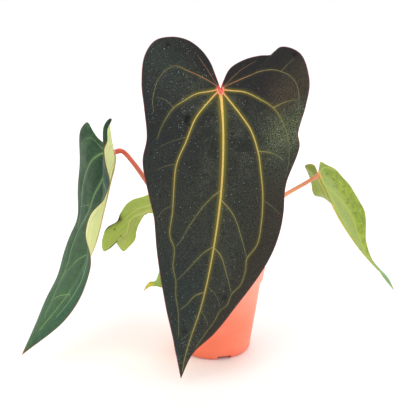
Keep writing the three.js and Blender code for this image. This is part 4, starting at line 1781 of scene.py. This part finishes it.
@dataclass
class Pot:
    """The nursery pot: a tapered wall with a proud rim band, and drain channels under a raised floor."""

    height: float = 106.0
    base_radius: float = 42.6
    top_radius: float = 60.5
    wall: float = 1.5
    floor: float = 2.0
    heel_radius: float = 5.0
    rim_depth: float = 16.0
    rim_step: float = 2.2
    drain_count: int = 4
    drain_first: float = -74.5
    drain_width: float = 17.0
    drain_height: float = 5.0
    drain_start: float = 14.0
    hole_radius: float = 4.5
    hole_at: float = 27.0
    edge_soft: float = 0.5
    sharp_from: float = 38.0
    sides: int = 168

    def wall_radius(self, height: float) -> float:
        """Gives the outer radius of the wall below the rim band."""
        lean = (self.top_radius - self.rim_step - self.base_radius) / self.height
        return self.base_radius + lean * height

    def build(self) -> list[bpy.types.Object]:
        """Makes the pot, in place of its plain solid.

        Returns:
            The pot.
        """
        # its second colour is painted light towards the rim, its third painted shade at the foot
        plastic = MouldedPolypropylene(
            "moulded coral polypropylene", "#ff7d5b", "#ffa188", "#f06f52", "#e2664a", self.height
        ).build()
        rim_foot = self.height - self.rim_depth
        wall_top = rim_foot - self.rim_step
        heel_middle = self.wall_radius(self.heel_radius) - self.heel_radius
        heel = [
            (heel_middle + self.heel_radius * math.sin(turn), self.heel_radius * (1 - math.cos(turn)))
            for turn in np.linspace(0, math.pi / 2, 9)
        ]
        half = self.wall / 2
        lip = [
            (self.top_radius - half + half * math.cos(turn), self.height - half + half * math.sin(turn))
            for turn in np.linspace(0, math.pi / 2, 5)
        ]
        outside = [
            *heel,
            (self.wall_radius(wall_top - self.edge_soft), wall_top - self.edge_soft),
            (self.wall_radius(wall_top) + 0.12, wall_top + 0.05),
            (self.wall_radius(rim_foot) + self.rim_step - 0.3, rim_foot - 0.35),
            (self.wall_radius(rim_foot) + self.rim_step, rim_foot + self.edge_soft),
            *lip,
        ]
        body = self._turned("pot_dressed", [(0, 0), *outside, (0, self.height)], plastic)
        inside = [
            (self.wall_radius(self.floor) - self.wall, self.floor),
            (self.wall_radius(wall_top) - self.wall, wall_top),
            (self.wall_radius(rim_foot) + self.rim_step - self.wall, rim_foot),
            (self.top_radius - self.wall, self.height + 1),
        ]
        hollow = self._turned("pot_hollow", [(0, self.floor), *inside, (0, self.height + 1)], plastic)
        every = range(self.drain_count)
        self._cut(hollow, [self._channel(k, self.wall, 0.0) for k in every])
        self._cut(body, [hollow])
        self._cut(body, [self._channel(k, 0.0, 1.0) for k in every])
        self._cut(body, [self._hole(k) for k in every])
        self._soften(body)
        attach(body, "root")
        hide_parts("pot")
        return [body]

    def _turned(
        self, name: str, profile: Sequence[tuple[float, float]], material: bpy.types.Material
    ) -> bpy.types.Object:
        """Turns a profile of (radius, height) that starts and ends on the axis into a closed mesh."""
        middle = profile[1:-1]
        corners = [(0, 0, profile[0][1] * MM), (0, 0, profile[-1][1] * MM)]
        for radius, height in middle:
            for turn in ring_angles(self.sides):
                corners.append((radius * math.cos(turn) * MM, radius * math.sin(turn) * MM, height * MM))
        *quads, first, last = tube_faces(len(middle), self.sides, 2)
        fans = []
        for axis, ring in enumerate((first, last)):
            fans += [[axis, a, b] for a, b in zip(ring, [*ring[1:], ring[0]])]
        mesh = bpy.data.meshes.new(name)
        mesh.from_pydata(corners, [], [*quads, *fans])
        mesh.materials.append(material)
        return link(name, mesh)

    def _channel(self, index: int, grow: float, below: float) -> bpy.types.Object:
        """Makes the space of one drain channel, or its cover where it grows by the wall."""
        start, end = self.drain_start - grow, self.top_radius
        width, height = self.drain_width + 2 * grow, self.drain_height + grow
        shape = bmesh.new()
        bmesh.ops.create_cube(shape, size=1.0)
        bmesh.ops.scale(shape, vec=(end - start, width, height + below), verts=shape.verts)
        bmesh.ops.translate(shape, vec=((start + end) / 2, 0, (height - below) / 2), verts=shape.verts)
        return self._placed("channel", shape, index)

    def _hole(self, index: int) -> bpy.types.Object:
        """Makes the space of one round drain hole."""
        shape = bmesh.new()
        sizes = {"radius1": self.hole_radius, "radius2": self.hole_radius, "depth": 4 * self.drain_height}
        bmesh.ops.create_cone(shape, cap_ends=True, segments=40, **sizes)
        bmesh.ops.translate(shape, vec=(self.hole_at, 0, self.drain_height), verts=shape.verts)
        return self._placed("hole", shape, index)

    def _placed(self, name: str, shape: bmesh.types.BMesh, index: int) -> bpy.types.Object:
        """Turns a cutting shape to its drain channel, and scales it to metres."""
        turn = math.radians(self.drain_first + 360 / self.drain_count * index)
        move = Matrix.Scale(MM, 4) @ Matrix.Rotation(turn, 4, "Z")
        bmesh.ops.transform(shape, matrix=move, verts=shape.verts)
        mesh = bpy.data.meshes.new(name)
        shape.to_mesh(mesh)
        shape.free()
        return link(name, mesh)

    def _cut(self, piece: bpy.types.Object, cutters: Sequence[bpy.types.Object]) -> None:
        """Cuts shapes out of a piece and removes them.

        Args:
            piece: the piece to cut.
            cutters: the shapes.
        """
        for cutter in cutters:
            modifier = piece.modifiers.new("cut", "BOOLEAN")
            modifier.operation = "DIFFERENCE"
            modifier.solver = "EXACT"
            modifier.object = cutter
        bpy.context.view_layer.update()
        evaluated = piece.evaluated_get(bpy.context.evaluated_depsgraph_get())
        mesh = bpy.data.meshes.new_from_object(evaluated)
        piece.modifiers.clear()
        piece.data = mesh
        for cutter in cutters:
            bpy.data.objects.remove(cutter)

    def _soften(self, piece: bpy.types.Object) -> None:
        """Merges doubled corners, drops degenerate edges and smooths the rest, with the sharp edges kept
        sharp.
        """
        shape = bmesh.new()
        shape.from_mesh(piece.data)
        bmesh.ops.remove_doubles(shape, verts=shape.verts, dist=0.01 * MM)
        bmesh.ops.dissolve_degenerate(shape, edges=shape.edges, dist=0.005 * MM)
        for face in shape.faces:
            face.smooth = True
        for edge in shape.edges:
            edge.smooth = edge.is_manifold and edge.calc_face_angle(0.0) < math.radians(self.sharp_from)
        shape.to_mesh(piece.data)
        shape.free()


@dataclass
class PottingMix:
    """The potting mix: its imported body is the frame's own solid, with loose bark chips and fibres on top.

    The rings of a chip are (height, spread) as shares of its sizes, from its lower to its upper face.
    """

    top: float = 91.0
    radius: float = 54.0
    stem_gap: float = 10.0
    chip_count: int = 330
    chip_length: tuple[float, float] = (2.6, 6.6)
    chip_width: tuple[float, float] = (1.8, 4.2)
    chip_depth: tuple[float, float] = (1.0, 2.2)
    chip_rest: float = 0.9
    chip_pile: float = 2.2
    chip_overhang: float = 3.5
    chip_tilt: float = 0.45
    chip_rough: float = 0.24
    chip_uneven: float = 0.12
    chip_rings: tuple[tuple[float, float], ...] = ((-1.0, 0.78), (-0.6, 1.0), (0.5, 0.98), (1.0, 0.74))
    chip_sides: int = 9
    fibre_count: int = 90
    fibre_length: tuple[float, float] = (5.0, 13.0)
    fibre_radius: tuple[float, float] = (0.18, 0.4)
    fibre_rest: float = 1.2
    fibre_arch: float = 1.6
    fibre_sides: int = 5
    seed: int = 5

    def build(self) -> list[bpy.types.Object]:
        """Dresses the solid and scatters the chips and fibres.

        Returns:
            The solid, the chips and the fibres.
        """
        bark = WornBark("damp conifer bark", "#2a1b14", "#4d3222", "#7d5a3c").build()
        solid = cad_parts["potting_mix"]
        solid.data.materials.clear()
        solid.data.materials.append(bark)
        rng = np.random.default_rng(self.seed)
        return [solid, self._chips(rng, bark), self._fibres(rng, bark)]

    def _chips(self, rng: np.random.Generator, bark: bpy.types.Material) -> bpy.types.Object:
        """Scatters irregular bark chips."""
        chips = TubeCluster()
        count = self.chip_sides
        for _ in range(self.chip_count):
            reach = math.sqrt(rng.uniform(self.stem_gap**2, self.radius**2))
            around = rng.uniform(0, 2 * math.pi)
            sizes = (self.chip_length, self.chip_width, self.chip_depth)
            length, width, depth = (rng.uniform(low, high) for low, high in sizes)
            length = min(length, self.radius + self.chip_overhang - reach)
            height = self.top + self.chip_rest
            centre = np.array([reach * math.cos(around), reach * math.sin(around), height])
            centre[2] += rng.uniform(0.0, self.chip_pile)
            tilt = rng.uniform(-self.chip_tilt, self.chip_tilt, 2)
            spin = rng.uniform(0, 2 * math.pi)
            ahead = unit(np.array([math.cos(spin), math.sin(spin), tilt[0]]))
            up = unit(np.array([-tilt[0] * math.cos(spin), -tilt[0] * math.sin(spin), 1.0]) + tilt[1] * 0.5)
            up = unit(up - ahead * float(up @ ahead))
            turns = (np.arange(count) + rng.uniform(-0.3, 0.3, count)) / count * 2 * np.pi
            outline = 1 + rng.uniform(-self.chip_rough, self.chip_rough, count)
            flat = np.outer(np.cos(turns) * length, ahead)
            flat += np.outer(np.sin(turns) * width, np.cross(up, ahead))
            rings = []
            for level, spread in self.chip_rings:
                heights = depth * (level + rng.uniform(-self.chip_uneven, self.chip_uneven, count))
                rings.append(centre + flat * (spread * outline)[:, None] + np.outer(heights, up))
            chips.add(np.concatenate(rings), count, tone=rng.random())
        piece = chips.piece("bark_chips", bark)
        piece.data.polygons.foreach_set("use_smooth", np.zeros(len(piece.data.polygons), bool))
        return piece

    def _fibres(self, rng: np.random.Generator, bark: bpy.types.Material) -> bpy.types.Object:
        """Lays thin, bent fibres over the chips."""
        fibres = TubeCluster()
        t = np.linspace(-0.5, 0.5, 9)
        for _ in range(self.fibre_count):
            reach = math.sqrt(rng.uniform(self.stem_gap**2, (self.radius - 4) ** 2))
            around = rng.uniform(0, 2 * math.pi)
            height = self.top + self.fibre_rest
            start = np.array([reach * math.cos(around), reach * math.sin(around), height])
            spin = rng.uniform(0, 2 * math.pi)
            step = np.array([math.cos(spin), math.sin(spin), 0.0])
            bend = np.array([-step[1], step[0], 0.0]) * rng.uniform(-1, 1)
            size = rng.uniform(*self.fibre_length)
            path = start + np.outer(t, step * size) + np.outer(t * t, bend * size * 0.5)
            path[:, 2] += self.fibre_arch * np.cos(2.8 * t)
            far = np.hypot(path[:, 0], path[:, 1]) / (self.radius - 1)
            path[:, :2] /= np.maximum(far, 1.0)[:, None]
            radius = np.full((len(t), 1), rng.uniform(*self.fibre_radius))
            rings = round_rings(path, radius, self.fibre_sides)
            fibres.add(rings, self.fibre_sides, tone=rng.uniform(0.5, 1.0))
        piece = fibres.piece("mix_fibres", bark)
        return piece


@dataclass
class Stem:
    """The short upright stem, ringed by leaf scars, with stout roots that arch into the mix."""

    radius: float = 8.5
    bottom: float = 55.0
    top: float = 111.0
    crown: float = 0.86
    scar_depth: float = 0.07
    lump: float = 0.35
    sides: int = 48
    root_count: int = 5
    root_radius: float = 2.4
    root_tip: float = 1.4
    root_leave: float = 95.0
    root_reach: float = 21.0
    root_bottom: float = 76.0
    root_lump: float = 0.12
    root_sides: int = 18

    def build(self) -> list[bpy.types.Object]:
        """Makes the stem and its roots, in place of their plain solid.

        Returns:
            The stem.
        """
        tubes = TubeCluster()
        trunk = SmoothCurve(((0, 0, self.bottom), (1, 0, 74), (0, 1, 92), (0, 0, self.top)))
        share = np.linspace(0, 1, 90)
        over = np.maximum(0, share - self.crown) / (1 - self.crown)
        radius = self.radius * np.sqrt(np.maximum(0.03, 1 - over**2))
        scars = np.clip(np.cos(26 * share), 0, 1) ** 6
        rings = self._lumpy(trunk.along(share), radius * (1 - self.scar_depth * scars), self.sides, self.lump)
        tubes.add(rings, self.sides, scar=np.repeat(0.7 * scars * (1 - over), self.sides))
        share = np.linspace(0, 1, 36)
        for index in range(self.root_count):
            around = index / self.root_count * 2 * math.pi + 0.5 + 0.35 * math.sin(index * 2.4)
            leave = self.root_leave - 3 * (index % 3)
            places = (
                (3, leave - 2),
                (self.radius + 3, leave - 1),
                (self.root_reach - 4, leave - 8),
                (self.root_reach, self.root_bottom),
            )
            curve = SmoothCurve([(r * math.cos(around), r * math.sin(around), z) for r, z in places])
            radius = between(self.root_radius, self.root_tip, share)
            rings = self._lumpy(curve.along(share), radius, self.root_sides, self.root_lump)
            tubes.add(rings, self.root_sides, scar=0.25)
        skin = StemBark("fibrous stem skin", "#77743f", "#4f4426", "#a79a6c").build()
        stem = tubes.piece("stem_dressed", skin)
        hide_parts("stem")
        return [stem]

    @staticmethod
    def _lumpy(path: np.ndarray, radius: np.ndarray, sides: int, lump: float) -> np.ndarray:
        """Lays the rings of a tube whose skin swells and sinks a little."""
        turns, i = ring_angles(sides), np.arange(len(path))[:, None]
        lumps = lump * np.sin(3 * turns + 0.31 * i) * np.cos(2 * turns - 0.17 * i)
        return round_rings(path, radius[:, None] + lumps, sides)


# ---- studio ----


@dataclass(frozen=True)
class SoftLight:
    """One soft studio light: where it stands, where it points, its size in metres and its power in watts."""

    name: str
    place: Point
    target: Point
    size: float
    power: float
    colour: str = "#ffffff"

    def build(self) -> None:
        """Hangs the light."""
        lamp = bpy.data.lights.new(self.name, "AREA")
        lamp.shape = "DISK"
        lamp.size = self.size
        lamp.energy = self.power
        lamp.color = linear(self.colour)[:3]
        holder = link(self.name, lamp)
        holder.location = self.place
        holder.rotation_euler = (Vector(self.target) - Vector(self.place)).to_track_quat("-Z", "Y").to_euler()


@dataclass
class Studio:
    """A pale floor, soft lights and the camera, which stands where the photograph's did."""

    camera_place: Point = (-7.9, -968.0, 475.0)
    camera_tilt: float = 17.2
    lens: float = 75.0
    sensor: float = 36.0
    floor_size: float = 24.0
    floor_gap: float = 0.0002
    sky: float = 1.05

    def build(self) -> list[bpy.types.Object]:
        """Makes the camera, the floor and the lights.

        Returns:
            The floor.
        """
        scene = bpy.context.scene
        scene.camera = self._camera()
        world = bpy.data.worlds.new("studio")
        world.use_nodes = True
        background = world.node_tree.nodes["Background"]
        background.inputs[0].default_value = linear("#ffffff")
        background.inputs[1].default_value = self.sky
        scene.world = world
        for light in (
            SoftLight("key", (-0.9, -1.5, 1.7), (0, 0, 0.2), 1.4, 10),
            SoftLight("side", (1.5, -0.5, 0.9), (0.05, 0, 0.25), 0.9, 5),
            SoftLight("back", (0.3, 1.4, 1.3), (0, 0, 0.2), 1.2, 5),
        ):
            light.build()
        scene.view_settings.view_transform = "Standard"
        scene.view_settings.look = "None"
        return [self._floor()]

    def _camera(self) -> bpy.types.Object:
        """Makes the camera, at the photograph's angle."""
        lens = bpy.data.cameras.new("camera")
        lens.lens = self.lens
        lens.sensor_width = self.sensor
        lens.clip_end = 50
        camera = link("camera", lens)
        camera.location = [value * MM for value in self.camera_place]
        camera.rotation_euler = (math.radians(90 - self.camera_tilt), 0, 0)
        return camera

    def _floor(self) -> bpy.types.Object:
        """Lays the floor, just under the pot."""
        half = self.floor_size / 2
        corners = [(x * half, y * half, -self.floor_gap) for x, y in ((-1, -1), (1, -1), (1, 1), (-1, 1))]
        mesh = bpy.data.meshes.new("floor")
        mesh.from_pydata(corners, [], [(0, 1, 2, 3)])
        mesh.materials.append(PlainSurface("white paper sweep", "#fbfbfb", "#f6f6f6", 0.8, 300).build())
        floor = link("floor", mesh)
        return floor


def main() -> None:
    """Builds the studio and the part, and logs each piece with its number of faces."""
    logging.basicConfig(level=logging.INFO, format="%(name)s: %(message)s")
    for maker in (Studio(), Pot(), PottingMix(), Stem(), Plant()):
        for piece in maker.build():
            log.info("%s with %d faces", piece.name, len(piece.data.polygons))


if __name__ == "__main__":
    main()
